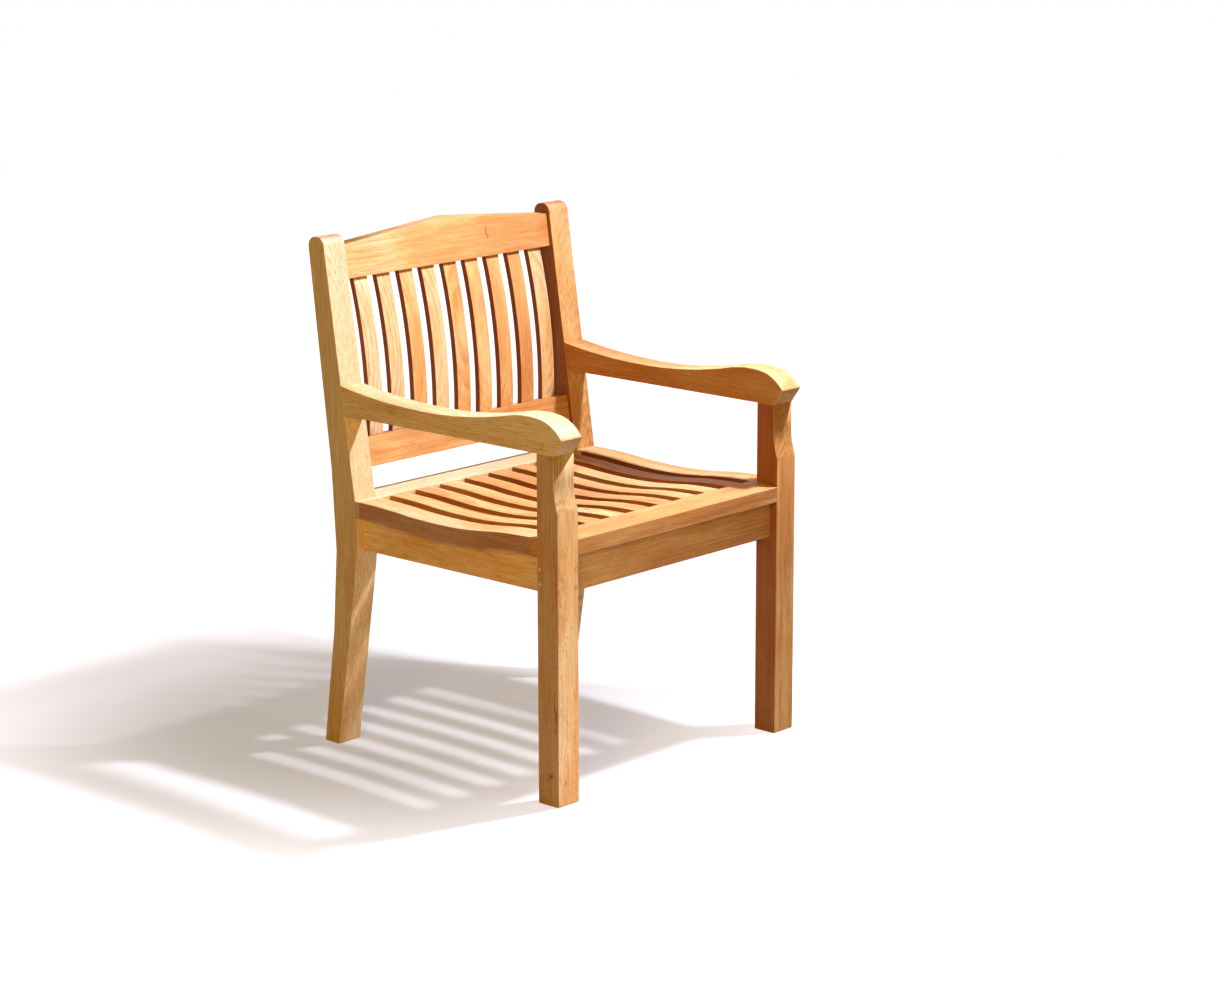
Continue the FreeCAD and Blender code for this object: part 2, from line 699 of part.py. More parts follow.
    def front_seat_rail(self):
        """The front rail of the seat, notched round both front legs."""
        s = self.size
        body = self.body("front_seat_rail")
        rear = self.front + s.front_rail_depth
        bottom = s.seat_height - s.seat_thickness
        curve = level_radius((s.seat_dip_depth - s.front_rail_depth) / 2, s.seat_dip / 2)
        drop = curve - (curve * curve - s.front_rail_depth * s.front_rail_depth).root()
        outline = [Corner(self.front, bottom), Corner(rear, bottom),
                   Corner(rear, s.seat_height),
                   Corner(self.front, s.seat_height - drop, curve, 1)]
        pad(body, "front_rail", outline, s.overall_width)
        front = self.front.number
        low = bottom.number + s.edge_ease.number
        fillet(body, "front_rail_nose", s.front_rail_ease,
               lambda edge: along_x(edge) and edge.BoundBox.YMax < front + s.edge_ease.number
               and edge.BoundBox.ZMin > low)
        chamfer(body, "front_rail_arris", s.edge_ease,
                lambda edge: along_x(edge) and edge.BoundBox.YMax < front + s.edge_ease.number
                and edge.BoundBox.ZMax < low)
        for label, sign in SIDES.items():
            inner = sign * self.clear / 2
            outer = sign * (s.overall_width / 2 + s.overrun)
            low, high = (outer, inner) if sign < 0 else (inner, outer)
            block(body, "Subtractive", f"leg_notch_{label}",
                  [low, self.front - s.overrun, bottom - s.overrun],
                  [high, self.front + s.leg_depth, s.seat_height + s.overrun])
            mortise(body, f"front_ear_mortise_{label}",
                    *self.ear_tenon("front", sign * self.leg_side), s.fit)
        self.cut_seat_mortises(body, "front")
        self.cut_key_mortises(body, "front_rail", as_size(0), self.front_keys())
        return body

    def rear_seat_rail(self):
        """The rear rail of the seat, notched round both rear posts."""
        s = self.size
        body = self.body("rear_seat_rail")
        rear = self.rear_rail_front + s.rear_rail_depth
        bottom = self.seat_rear - s.seat_thickness
        outline = [Corner(self.rear_rail_front, bottom), Corner(rear, bottom),
                   Corner(rear, self.seat_rear),
                   Corner(self.rear_rail_front, self.seat_rear)]
        pad(body, "rear_rail", outline, s.overall_width)
        past = rear.number - s.edge_ease.number
        chamfer(body, "rear_rail_arris", s.edge_ease,
                lambda edge: along_x(edge) and edge.BoundBox.YMin > past)
        for label, sign in SIDES.items():
            middle = sign * (self.clear / 2 + (s.leg_width + s.overrun) / 2)
            pocket(body, f"post_notch_{label}", self.behind_post_front(),
                   s.leg_width + s.overrun, middle)
            mortise(body, f"rear_ear_mortise_{label}",
                    *self.ear_tenon("rear", sign * self.leg_side), s.fit)
        self.cut_seat_mortises(body, "rear")
        self.cut_key_mortises(body, "rear_rail", as_size(0), self.rear_keys())
        return body

    def cut_seat_mortises(self, body, end):
        """Cut the row of mortises that holds the seat slats."""
        s = self.size
        first, pitch = self.slat_sides(s.seat_slats, s.seat_slat_width)
        cut = mortise(body, f"slat_{end}_mortise", *self.seat_tenon(end, first), s.fit)
        repeat(body, cut, pitch, s.seat_slats)

    # Aprons

    def apron_band(self, top):
        """Lower and upper edge of an apron's tenon below a height."""
        s = self.size
        return (self.apron_bottom + s.apron_tenon_shoulder,
                top - s.apron_tenon_shoulder)

    def side_apron_middle(self, sign):
        """The middle of a side apron's thickness."""
        s = self.size
        return sign * (s.overall_width / 2 - s.side_apron_inset - s.apron_thickness / 2)

    def side_apron_tenon(self, end, sign):
        """A tenon of a side apron, into the leg or into the post."""
        s = self.size
        middle = self.side_apron_middle(sign)
        half = s.apron_tenon_thickness / 2
        low, high = self.apron_band(self.seat_low - s.seat_thickness)
        start = (self.front + s.leg_depth - s.apron_tenon_length if end == "front"
                 else self.knee_front)
        return (f"side_apron_{end}_tenon", [middle - half, start, low],
                [middle + half, start + s.apron_tenon_length, high])

    def cross_tenon(self, name, sign, front, top):
        """A tenon of the front or rear apron, which stops short of the side tenon."""
        s = self.size
        side_face = s.side_apron_inset + (s.apron_thickness + s.apron_tenon_thickness) / 2
        length = s.leg_width - side_face - 2 * s.fit
        middle = front + s.apron_thickness / 2
        half = s.apron_tenon_thickness / 2
        low, high = self.apron_band(top)
        inner = self.clear / 2
        left, right = (inner, inner + length) if sign > 0 else (-inner - length, -inner)
        return name, [left, middle - half, low], [right, middle + half, high]

    def front_apron_tenon(self, sign):
        """A tenon of the front apron."""
        s = self.size
        return self.cross_tenon("front_apron_tenon", sign, self.front + s.front_apron_inset,
                                s.seat_height - s.seat_thickness)

    def rear_apron_tenon(self, sign):
        """A tenon of the rear apron."""
        s = self.size
        return self.cross_tenon("rear_apron_tenon", sign,
                                self.rear_rail_front + s.rear_apron_inset,
                                self.seat_rear - s.seat_thickness)

    def cross_apron(self, name, front, top, tenons):
        """An apron that runs from side to side below a rail of the seat."""
        s = self.size
        body = self.body(name)
        outline = [Corner(front, self.apron_bottom),
                   Corner(front + s.apron_thickness, self.apron_bottom),
                   Corner(front + s.apron_thickness, top), Corner(front, top)]
        pad(body, f"{name}_board", outline, self.clear)
        low = self.apron_bottom.number + s.edge_ease.number
        chamfer(body, f"{name}_arris", s.slat_ease,
                lambda edge: along_x(edge) and edge.BoundBox.ZMax < low)
        for number, (_, start, end) in enumerate(tenons):
            tenon(body, f"{name}_tenon_{number}", start, end)
        return body

    def front_apron(self):
        """The apron below the front rail."""
        s = self.size
        body = self.cross_apron("front_apron", self.front + s.front_apron_inset,
                                s.seat_height - s.seat_thickness,
                                [self.front_apron_tenon(sign) for sign in SIDES.values()])
        self.cut_key_mortises(body, "front_apron", as_size(0), self.front_keys())
        for label, sign in SIDES.items():
            self.bore_pegs(body, f"front_apron_{label}", as_size(0),
                           self.front_apron_pegs(sign))
        return body

    def rear_apron(self):
        """The apron below the rear rail."""
        s = self.size
        body = self.cross_apron("rear_apron", self.rear_rail_front + s.rear_apron_inset,
                                self.seat_rear - s.seat_thickness,
                                [self.rear_apron_tenon(sign) for sign in SIDES.values()])
        self.cut_key_mortises(body, "rear_apron", as_size(0), self.rear_keys())
        return body

    def side_apron(self, label, sign):
        """The apron below a side rail: its top follows the dished seat."""
        s = self.size
        middle = self.side_apron_middle(sign)
        body = self.body(f"side_apron_{label}", middle)
        leg = self.front + s.leg_depth
        end = self.knee_front + s.apron_tenon_length
        outline = ([Corner(leg, self.apron_bottom), Corner(end, self.apron_bottom),
                    Corner(end, self.seat_rear - s.seat_thickness)]
                   + self.seat_underside(s.seat_thickness)
                   + [Corner(leg, s.seat_height - s.seat_thickness)])
        pad(body, f"side_board_{label}", outline, s.apron_thickness)
        low = self.apron_bottom.number + s.edge_ease.number
        chamfer(body, f"side_board_arris_{label}", s.slat_ease,
                lambda edge: across_x(edge) and edge.BoundBox.ZMax < low)
        pocket(body, f"side_board_shoulder_{label}", self.behind_post_front(),
               s.apron_thickness + 2 * s.overrun)
        for end_name in ("front", "rear"):
            name, start, stop = self.side_apron_tenon(end_name, sign)
            into = s.apron_tenon_length
            lap = (0, into / 2) if end_name == "front" else (into / 2, 0)
            tenon(body, f"{name}_{label}",
                  [start[0] - middle, start[1] - lap[0], start[2]],
                  [stop[0] - middle, stop[1] + lap[1], stop[2]])
        self.cut_key_mortises(body, f"side_apron_{label}", middle,
                              self.side_keys(sign))
        self.bore_pegs(body, f"side_apron_{label}", middle, self.side_apron_pegs(sign))
        return body

    # Back

    def lower_rail(self):
        """Where the lower rail of the back lies in the raked frame."""
        s = self.size
        low = self.up_slope(self.seat_rear + s.lower_rail_gap, s.lower_rail_inset)
        return (low, low + s.lower_rail_width, s.lower_rail_inset,
                s.lower_rail_inset + s.lower_rail_thickness)

    def crest(self):
        """Where the crest rail lies in the raked frame, up to its ends."""
        s = self.size
        return (self.up_slope(s.crest_bottom_height, s.crest_inset),
                self.up_slope(s.crest_end_height, s.crest_inset), s.crest_inset,
                s.crest_inset + s.crest_thickness)

    def back_slat_outline(self, spare=0):
        """A back slat from the side, with its ends in both rails."""
        s = self.size
        low, high, front, _ = self.lower_rail()
        foot = self.raked_box(high, high, front + s.lower_setback, front)[0]
        low, high, front, _ = self.crest()
        head = self.raked_box(low, low, front + s.upper_setback, front)[0]
        run = head.across - foot.across
        rise = head.up - foot.up
        chord = (run * run + rise * rise).root()
        along_y = run / chord
        along_z = rise / chord
        radius = level_radius(chord / 2, s.back_slat_bow)
        centre_y = (foot.across + head.across) / 2 + along_z * (radius - s.back_slat_bow)
        centre_z = (foot.up + head.up) / 2 - along_y * (radius - s.back_slat_bow)
        # Both ends lie on the same arc, one housing depth past the rails
        span = (chord / 2 + s.back_slat_housing + spare) / radius
        depth = (as_size(1) - span * span).root()

        def end(way, ring):
            return (centre_y + (along_y * span * way - along_z * depth) * ring,
                    centre_z + (along_z * span * way + along_y * depth) * ring)
        outer = radius + spare
        inner = radius - s.back_slat_thickness - spare
        return [Corner(*end(-1, outer)), Corner(*end(1, outer), outer, -1),
                Corner(*end(1, inner)), Corner(*end(-1, inner), inner, 1)]

    def back_slat(self, number):
        """One slat of the back, bowed forward and housed in both rails."""
        s = self.size
        first, pitch = self.slat_sides(s.back_slats, s.back_slat_width)
        body = self.body(f"back_slat_{number + 1}", first + pitch * number)
        outline = self.back_slat_outline()
        pad(body, f"splat_{number + 1}", outline, s.back_slat_width)
        rear_radius = outline[-1].radius.number + s.slat_ease.number
        chamfer(body, f"splat_edge_{number + 1}", s.slat_ease,
                lambda edge: is_arc(edge) and edge.Curve.Radius > rear_radius)
        return body

    def cut_back_housings(self, body, name):
        """Cut the row of housings that holds the back slats."""
        s = self.size
        first, pitch = self.slat_sides(s.back_slats, s.back_slat_width)
        cut = pocket(body, f"{name}_housing", self.back_slat_outline(s.fit),
                     s.back_slat_width + 2 * s.fit, first)
        repeat(body, cut, pitch, s.back_slats)

    def add_back_tenons(self, body, joint):
        """Run the tenons of a rail of the back through to both posts."""
        s = self.size
        name, low, high, front, back = joint
        length = self.clear + 2 * s.back_tenon_length
        pad(body, f"{name}_tenons", self.raked_box(low, high, front, back), length)

    def lower_back_rail(self):
        """The lower rail of the back."""
        s = self.size
        body = self.body("lower_back_rail")
        pad(body, "lower_rail_board", self.raked_box(*self.lower_rail()), self.clear)
        chamfer(body, "lower_rail_arris", s.edge_ease, along_x)
        self.add_back_tenons(body, self.back_joints()[0])
        self.cut_back_housings(body, "lower_rail")
        return body

    def crest_rail(self):
        """The crest rail, which rises to an eased peak in the middle."""
        s = self.size
        body = self.body("crest_rail")
        low, _, front, back = self.crest()
        high = self.up_slope(s.crest_peak_height + s.overrun, front)
        pad(body, "crest_board", self.raked_box(low, high, front, back), self.clear)
        half = self.clear / 2
        slope = (s.crest_peak_height - s.crest_end_height) / half
        end = s.crest_end_height - slope * s.overrun
        top = s.crest_peak_height + 2 * s.overrun
        gable = [Corner(-half - s.overrun, end),
                 Corner(0, s.crest_peak_height, s.crest_peak_round),
                 Corner(half + s.overrun, end), Corner(half + s.overrun, top),
                 Corner(-half - s.overrun, top)]
        pocket(body, "crest_gable", gable, 2 * s.overall_depth, plane="XZ_Plane")
        chamfer(body, "crest_arris", s.edge_ease, along_x)
        self.add_back_tenons(body, self.back_joints()[1])
        self.cut_back_housings(body, "crest")
        return body

    # Pegs and loose tenons

    def side_apron_pegs(self, sign):
        """Pegs driven from the side through the front tenon of a side apron."""
        s = self.size
        outer = s.overall_width / 2
        start = outer - s.peg_length if sign > 0 else -outer
        depth = self.front + s.leg_depth - s.peg_edge
        return [(start, depth, self.apron_bottom + rise, Vector(1, 0, 0))
                for rise in (s.upper_peg_rise, s.side_peg_rise)]

    def front_apron_pegs(self, sign):
        """Pegs driven from the front through a tenon of the front apron."""
        s = self.size
        side = sign * (self.clear / 2 + s.peg_edge)
        return [(side, self.front, self.apron_bottom + rise, Vector(0, 1, 0))
                for rise in (s.upper_peg_rise, s.front_peg_rise)]

    def apron_pegs(self, sign):
        """All pegs of the apron joints of one front leg."""
        return self.side_apron_pegs(sign) + self.front_apron_pegs(sign)

    def leg_peg(self, sign):
        """The peg through the tenon of the leg, in the arm."""
        s = self.size
        outer = s.overall_width / 2
        start = outer - s.peg_length if sign > 0 else -outer
        return (start, self.front + s.leg_depth - s.leg_peg_edge,
                s.arm_underside_height + s.leg_peg_rise, Vector(1, 0, 0))

    def post_peg(self, sign):
        """The peg through the tenon of the arm, in the post."""
        s = self.size
        outer = s.overall_width / 2
        start = outer - s.peg_length if sign > 0 else -outer
        height = s.arm_underside_height + s.post_peg_rise
        return start, self.front_of_post(height) + s.peg_edge, height, Vector(1, 0, 0)

    def bore_pegs(self, body, name, side, pegs):
        """Bore the holes of pegs through a body that stands at a sideways place."""
        s = self.size
        for number, (x, y, z, along) in enumerate(pegs):
            bore(body, f"peg_hole_{name}_{number}", (x - side, y, z), along,
                 s.peg_diameter / 2 + s.fit, s.peg_length)

    def side_keys(self, sign):
        """Loose tenons of a side apron, where the dished line changes its curve."""
        s = self.size
        dip = s.seat_dip_depth
        x = self.side_apron_middle(sign)
        rail_end = s.front_rail_depth + s.side_rail_length
        spots = [((dip + s.front_rail_depth) / 2, s.seat_dip / 2),
                 ((dip + rail_end) / 2, s.seat_rise / 2)]
        return [self.key_block(x, self.front + depth, self.seat_low + rise - s.seat_thickness,
                               s.key_thickness, s.key_length)
                for depth, rise in spots]

    def front_keys(self):
        """Loose tenons between the front apron and the front rail."""
        s = self.size
        depth = self.front + s.front_apron_inset + s.apron_thickness / 2
        height = s.seat_height - s.seat_thickness
        return [self.key_block(sign * s.key_side, depth, height, s.key_length, s.key_thickness)
                for sign in SIDES.values()]

    def rear_keys(self):
        """Loose tenons between the rear apron and the rear rail."""
        s = self.size
        depth = self.rear_rail_front + s.rear_apron_inset + s.apron_thickness / 2
        height = self.seat_rear - s.seat_thickness
        return [self.key_block(sign * s.key_side, depth, height, s.key_length, s.key_thickness)
                for sign in SIDES.values()]

    def key_block(self, x, y, z, wide, deep):
        """The low and high corners of a loose tenon about the middle of its joint."""
        half = self.size.key_height / 2
        return ([x - wide / 2, y - deep / 2, z - half], [x + wide / 2, y + deep / 2, z + half])

    def cut_key_mortises(self, body, name, side, keys):
        """Cut the mortises of loose tenons in a body that stands at a sideways place."""
        for number, (low, high) in enumerate(keys):
            mortise(body, f"key_mortise_{name}_{number}",
                    [low[0] - side] + low[1:], [high[0] - side] + high[1:], self.size.fit)

    def group(self, name, links):
        """Gather like pieces in one node."""
        group = self.doc.addObject("Part::Compound", name)
        group.Label = name
        group.Links = links
        return group

    def pegs(self, name, places):
        """A group of round pegs, each from a point along an axis."""
        s = self.size
        links = []
        for number, (x, y, z, along) in enumerate(places):
            peg = self.doc.addObject("Part::Cylinder", f"{name}_{number}")
            peg.Placement = Placement(Vector(), Rotation(Vector(0, 0, 1), along))
            bind(peg, Radius=s.peg_diameter / 2, Height=s.peg_length, Placement__Base__x=x,
                 Placement__Base__y=y, Placement__Base__z=z)
            links.append(peg)
        return self.group(name, links)

    def keys(self, name, blocks):
        """A group of loose tenons, each between two corners."""
        links = []
        for number, (low, high) in enumerate(blocks):
            key = self.doc.addObject("Part::Box", f"{name}_{number}")
            bind(key, Length=high[0] - low[0], Width=high[1] - low[1], Height=high[2] - low[2],
                 Placement__Base__x=low[0], Placement__Base__y=low[1],
                 Placement__Base__z=low[2])
            links.append(key)
        return self.group(name, links)

    def fasteners(self):
        """The pegs and loose tenons, each kind as one group."""
        both = SIDES.values()
        apron = [peg for sign in both for peg in self.apron_pegs(sign)]
        arm = [peg for sign in both for peg in (self.leg_peg(sign), self.post_peg(sign))]
        keys = [key for sign in both for key in self.side_keys(sign)]
        keys += self.front_keys() + self.rear_keys()
        return [self.pegs("apron_pegs", apron), self.pegs("arm_pegs", arm),
                self.keys("seat_keys", keys)]

    def pieces(self):
        """Make every piece of the chair."""
        made = []
        for label, sign in SIDES.items():
            made += [self.front_leg(label, sign), self.rear_post(label, sign),
                     self.arm(label, sign), self.side_apron(label, sign),
                     self.side_seat_rail(label, sign)]
        made += [self.front_apron(), self.rear_apron(), self.front_seat_rail(),
                 self.rear_seat_rail(), self.lower_back_rail(), self.crest_rail()]
        made += [self.seat_slat(i) for i in range(int(self.size.seat_slats.number))]
        made += [self.back_slat(i) for i in range(int(self.size.back_slats.number))]
        return made + self.fasteners()


def check(doc, pieces):
    """Stop if a feature failed, a cut removed nothing or a piece is not sound."""
    for thing in doc.Objects:
        if "Invalid" in thing.State or "Error" in thing.State:
            raise RuntimeError(f"{thing.Name} failed: {thing.State}")
        base = getattr(thing, "BaseFeature", None)
        cuts = thing.TypeId.startswith(("PartDesign::Pocket", "PartDesign::Subtractive"))
        if base is not None and cuts and thing.Shape.Volume >= base.Shape.Volume:
            raise RuntimeError(f"{thing.Name} cuts nothing")
    for piece in pieces:
        if piece.Shape.isNull() or not piece.Shape.isValid():
            raise RuntimeError(f"{piece.Label} is not a sound solid")


def main():
    """Build the chair and write each piece to its own file."""
    doc = FreeCAD.newDocument("GardenArmchair")
    pieces = Chair(doc).pieces()
    doc.recompute()
    check(doc, pieces)
    os.makedirs("parts", exist_ok=True)
    for piece in pieces:
        piece.Shape.exportStep(f"parts/{piece.Label}.step")
        print(piece.Label, len(piece.Shape.Solids), round(piece.Shape.Volume))


main()
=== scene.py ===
"""The looks of a teak garden armchair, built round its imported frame.

Lengths are metres. The chair stands on z = 0 and faces -Y, +X is the sitter's
left, and depths are measured back from the front of the legs. Each board is a
surface worked out with numpy, and it stands for the frame's node of that board.
"""

from __future__ import annotations

import logging
import math
from collections.abc import Callable, Iterable
from dataclasses import dataclass, field, replace
from enum import Enum

import bpy
import numpy as np
from mathutils import Matrix

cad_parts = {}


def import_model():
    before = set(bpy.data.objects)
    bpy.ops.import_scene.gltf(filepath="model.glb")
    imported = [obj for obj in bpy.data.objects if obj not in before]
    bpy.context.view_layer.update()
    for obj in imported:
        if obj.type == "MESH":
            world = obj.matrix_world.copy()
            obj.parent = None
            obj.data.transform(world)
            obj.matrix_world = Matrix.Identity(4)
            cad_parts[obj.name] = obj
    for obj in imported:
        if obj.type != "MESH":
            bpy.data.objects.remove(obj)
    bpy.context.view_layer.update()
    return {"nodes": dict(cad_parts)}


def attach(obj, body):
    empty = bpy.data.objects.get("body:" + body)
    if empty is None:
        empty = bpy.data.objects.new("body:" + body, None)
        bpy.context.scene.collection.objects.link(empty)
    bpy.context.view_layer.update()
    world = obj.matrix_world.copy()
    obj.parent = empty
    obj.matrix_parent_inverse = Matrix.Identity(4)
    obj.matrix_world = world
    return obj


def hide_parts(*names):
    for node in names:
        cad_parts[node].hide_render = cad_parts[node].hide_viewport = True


log = logging.getLogger("armchair")

ROOT = "root"
SIDES = {"right": -1, "left": 1}

Place = tuple[float, float, float]
Colour = tuple[float, float, float]


class Grain(Enum):
    """The way a board's grain runs."""

    ALONG_X = (1.0, 0.0, 0.0)
    ALONG_Y = (0.0, 1.0, 0.0)
    UPRIGHT = (0.0, 0.0, 1.0)
    RAKED = (0.0, 0.1475, 0.989)


class Slot(Enum):
    """Material slots of the record."""

    TEAK = "teak"
    PEG = "peg_teak"


# Outlines and surfaces

# The most that a part of a rounded corner turns, in degrees
ARC_PART = 15
# Points of an outline that lie nearer than this count as one
SAME_POINT = 1e-6


@dataclass(frozen=True)
class Corner:
    """A corner of an outline, and the edge that leads to it from the one before.

    With a turn, that edge is an arc of the radius: 1 curves to the left and -1
    to the right. The ease is the rounding of the corner itself.
    """

    across: float
    up: float
    ease: float = 0.0
    radius: float = 0.0
    turn: int = 0

    @property
    def place(self) -> np.ndarray:
        """The corner as a point."""
        return np.array([self.across, self.up])


@dataclass(frozen=True)
class Outline:
    """A closed line in a plane, run counterclockwise.

    The share of each point, from 0 to 1, says how far it lies on a sharp corner.
    """

    points: np.ndarray
    shares: np.ndarray

    def normals(self) -> np.ndarray:
        """Mitred normals of the points.

        Returns:
            Outward normals: an offset by them keeps its distance from every edge.
        """
        ahead = np.roll(self.points, -1, axis=0) - self.points
        ahead /= np.linalg.norm(ahead, axis=1, keepdims=True)
        out = np.stack([ahead[:, 1], -ahead[:, 0]], axis=1)
        behind = np.roll(out, 1, axis=0)
        return (out + behind) / (1 + np.sum(out * behind, axis=1, keepdims=True))


def quarter_turn(vector: np.ndarray) -> np.ndarray:
    """The vector turned left by a right angle."""
    return np.array([-vector[1], vector[0]])


def edge_line(start: np.ndarray, corner: Corner) -> tuple[np.ndarray, np.ndarray, Callable]:
    """The edge that leads to a corner.

    Args:
        start: the point that it comes from.
        corner: the corner that it leads to, with its arc.

    Returns:
        Its direction at the start and at the end, and a function that gives its
        points for a row of lengths from the start.
    """
    chord = corner.place - start
    length = float(np.linalg.norm(chord))
    along = chord / length
    if not corner.turn:
        return along, along, lambda reach: start + np.multiply.outer(reach, along)
    # The centre lies square to the chord's middle; a point is the centre plus a turned spoke
    half = math.asin(length / 2 / corner.radius)
    left = quarter_turn(along)
    centre = start + chord / 2 + left * (corner.turn * corner.radius * math.cos(half))
    spoke = start - centre

    def points(reach: np.ndarray) -> np.ndarray:
        """The arc's points at lengths from its start."""
        angle = corner.turn * np.asarray(reach) / corner.radius
        return centre + np.multiply.outer(np.cos(angle), spoke) \
            + np.multiply.outer(np.sin(angle), quarter_turn(spoke))

    swing = corner.turn * half
    leaving = along * math.cos(swing) - left * math.sin(swing)
    arriving = along * math.cos(swing) + left * math.sin(swing)
    return leaving, arriving, points


def trace(corners: Iterable[Corner], step: float = 0.006, sharp: float = 0.002) -> Outline:
    """Draw an outline through its corners.

    Each corner with an ease is cut back by that ease times tan(turn / 2) along both
    edges and bridged by an arc: the blend of the three points with weights
    (1 - t)^2, 2 t (1 - t) cos(turn / 2) and t^2, over their sum.

    Args:
        corners: the corners, counterclockwise.
        step: the most between points of an arc.
        sharp: the most ease that still counts as a full arris.

    Returns:
        The outline.
    """
    corners = list(corners)
    edges = [edge_line(corners[i - 1].place, corner) for i, corner in enumerate(corners)]
    cuts = []
    for i, corner in enumerate(corners):
        arriving, leaving = edges[i][1], edges[(i + 1) % len(corners)][0]
        turn = math.acos(float(np.clip(arriving @ leaving, -1, 1)))
        cuts.append(corner.ease * math.tan(turn / 2))
    points: list[np.ndarray] = []
    shares: list[np.ndarray] = []
    for i, corner in enumerate(corners):
        start = corners[i - 1].place
        chord = float(np.linalg.norm(corner.place - start))
        length = 2 * corner.radius * math.asin(chord / 2 / corner.radius) if corner.turn else chord
        first, last = cuts[i - 1], length - cuts[i]
        count = max(2, math.ceil((last - first) / step) + 1) if corner.turn else 2
        line = edges[i][2](np.linspace(first, last, count))
        if cuts[i] > 0:
            after = edges[(i + 1) % len(corners)][2](np.array([cuts[i]]))[0]
            turn = 2 * math.atan(cuts[i] / corner.ease)
            parts = math.ceil(math.degrees(turn) / ARC_PART)
            share = np.linspace(0, 1, 2 + parts)[1:-1, None]
            pull = 2 * share * (1 - share) * math.cos(turn / 2)
            bridge = (1 - share) ** 2 * line[-1] + pull * corner.place + share ** 2 * after
            bridge /= (1 - share) ** 2 + pull + share ** 2
            points += [line, bridge]
            sharpness = min(1.0, sharp / corner.ease)
            shares += [np.zeros(len(line)), np.sin(np.pi * share[:, 0]) * sharpness]
        else:
            points.append(line[:-1])
            shares.append(np.zeros(len(line) - 1))
    joined = np.concatenate(points)
    spread = np.linalg.norm(joined - np.roll(joined, 1, axis=0), axis=1)
    kept = spread > SAME_POINT
    return Outline(joined[kept], np.concatenate(shares)[kept])


@dataclass(frozen=True)
class Plane:
    """A plane that outlines are drawn in: its origin and its two directions."""

    across: Place
    up: Place
    origin: Place = (0.0, 0.0, 0.0)

    def axes(self) -> np.ndarray:
        """Rows of across, up and the normal."""
        return np.array([self.across, self.up, np.cross(self.across, self.up)])


SIDE_VIEW = Plane((0, 1, 0), (0, 0, 1))
PLAN_VIEW = Plane((1, 0, 0), (0, 1, 0))


@dataclass(frozen=True)
class Surface:
    """A closed shell: points, normals, faces, and how far each point lies on an arris."""

    points: np.ndarray
    normals: np.ndarray
    faces: list[tuple[int, ...]]
    arris: np.ndarray


def shell_faces(rings: int, count: int, first: int = 0) -> list[tuple[int, ...]]:
    """Join rings of points to a shell, and close its two ends.

    Args:
        rings: how many rings, each run counterclockwise round the way they climb.
        count: how many points in a ring.
        first: the number of the first point.

    Returns:
        Faces that point outwards.
    """
    ring, place = np.meshgrid(np.arange(rings - 1), np.arange(count), indexing="ij")
    low, after = first + ring * count, (place + 1) % count
    quads = np.stack([low + place, low + after, low + count + after, low + count + place],
                     axis=-1)
    faces = [tuple(quad) for quad in quads.reshape(-1, 4).tolist()]
    last = first + (rings - 1) * count
    return faces + [tuple(reversed(range(first, first + count))), tuple(range(last, last + count))]


def slab(outline: Outline, plane: Plane, low: float, high: float, ease: float,
         steps: int = 3) -> Surface:
    """A board of an outline, with both its rims rounded.

    Ring by ring, the rim's angle t goes from 0 to a right angle: the outline is
    inset by ease * (1 - sin t) at a depth of ease * (1 - cos t), and its normal
    turns from the board's face to the outline's own.

    Args:
        outline: the board's outline.
        plane: the plane that it lies in.
        low: where the board begins along the plane's normal.
        high: where it ends.
        ease: the rounding of its rims.
        steps: how many rings take up that rounding.

    Returns:
        The closed surface.
    """
    angle = np.linspace(0, math.pi / 2, steps + 1)
    inset = ease * (1 - np.sin(angle))
    depth = ease * (1 - np.cos(angle))
    insets = np.concatenate([inset, inset[::-1]])
    heights = np.concatenate([low + depth, (high - depth)[::-1]])
    leans = np.concatenate([-np.cos(angle), np.cos(angle)[::-1]])
    rims = np.concatenate([np.sin(2 * angle), np.sin(2 * angle)[::-1]])

    mitres = outline.normals()
    unit = mitres / np.linalg.norm(mitres, axis=1, keepdims=True)
    rings, count = len(insets), len(outline.points)
    flat = outline.points[None] - insets[:, None, None] * mitres[None]
    local = np.concatenate([flat, np.broadcast_to(heights[:, None, None], (rings, count, 1))],
                           axis=2)
    turned = np.concatenate([unit[None] * np.sqrt(1 - leans ** 2)[:, None, None],
                             np.broadcast_to(leans[:, None, None], (rings, count, 1))], axis=2)
    axes = plane.axes()
    points = local.reshape(-1, 3) @ axes + np.array(plane.origin)
    normals = turned.reshape(-1, 3) @ axes
    arris = np.maximum(rims[:, None], outline.shares[None]).reshape(-1)

    return Surface(points, normals, shell_faces(rings, count), arris)


def level_radius(run: float, rise: float) -> float:
    """Radius of an arc that starts level and climbs by the rise over the run."""
    return (run * run + rise * rise) / (2 * rise)


def rectangle(low: tuple[float, float], high: tuple[float, float], ease: float) -> Outline:
    """An upright rectangle between two corners, with rounded corners."""
    return trace([Corner(low[0], low[1], ease), Corner(high[0], low[1], ease),
                  Corner(high[0], high[1], ease), Corner(low[0], high[1], ease)])


# Boards


@dataclass(frozen=True)
class Timber:
    """The wood picked for a board, with painted light and shade on it.

    Its tone says how much redder it is than the others, or paler below 0, and its
    drift how much redder still at the far end of its grain, and paler at the near
    one; both are partly the board's own wood and partly painted light and shade for
    how much light falls on it. Side shade says how much painted shade darkens its
    right and left sides.
    """

    tone: float = 0.0
    drift: float = 0.0
    # Painted shade on its right and left sides
    side_shade: tuple[float, float] = (0.0, 0.0)


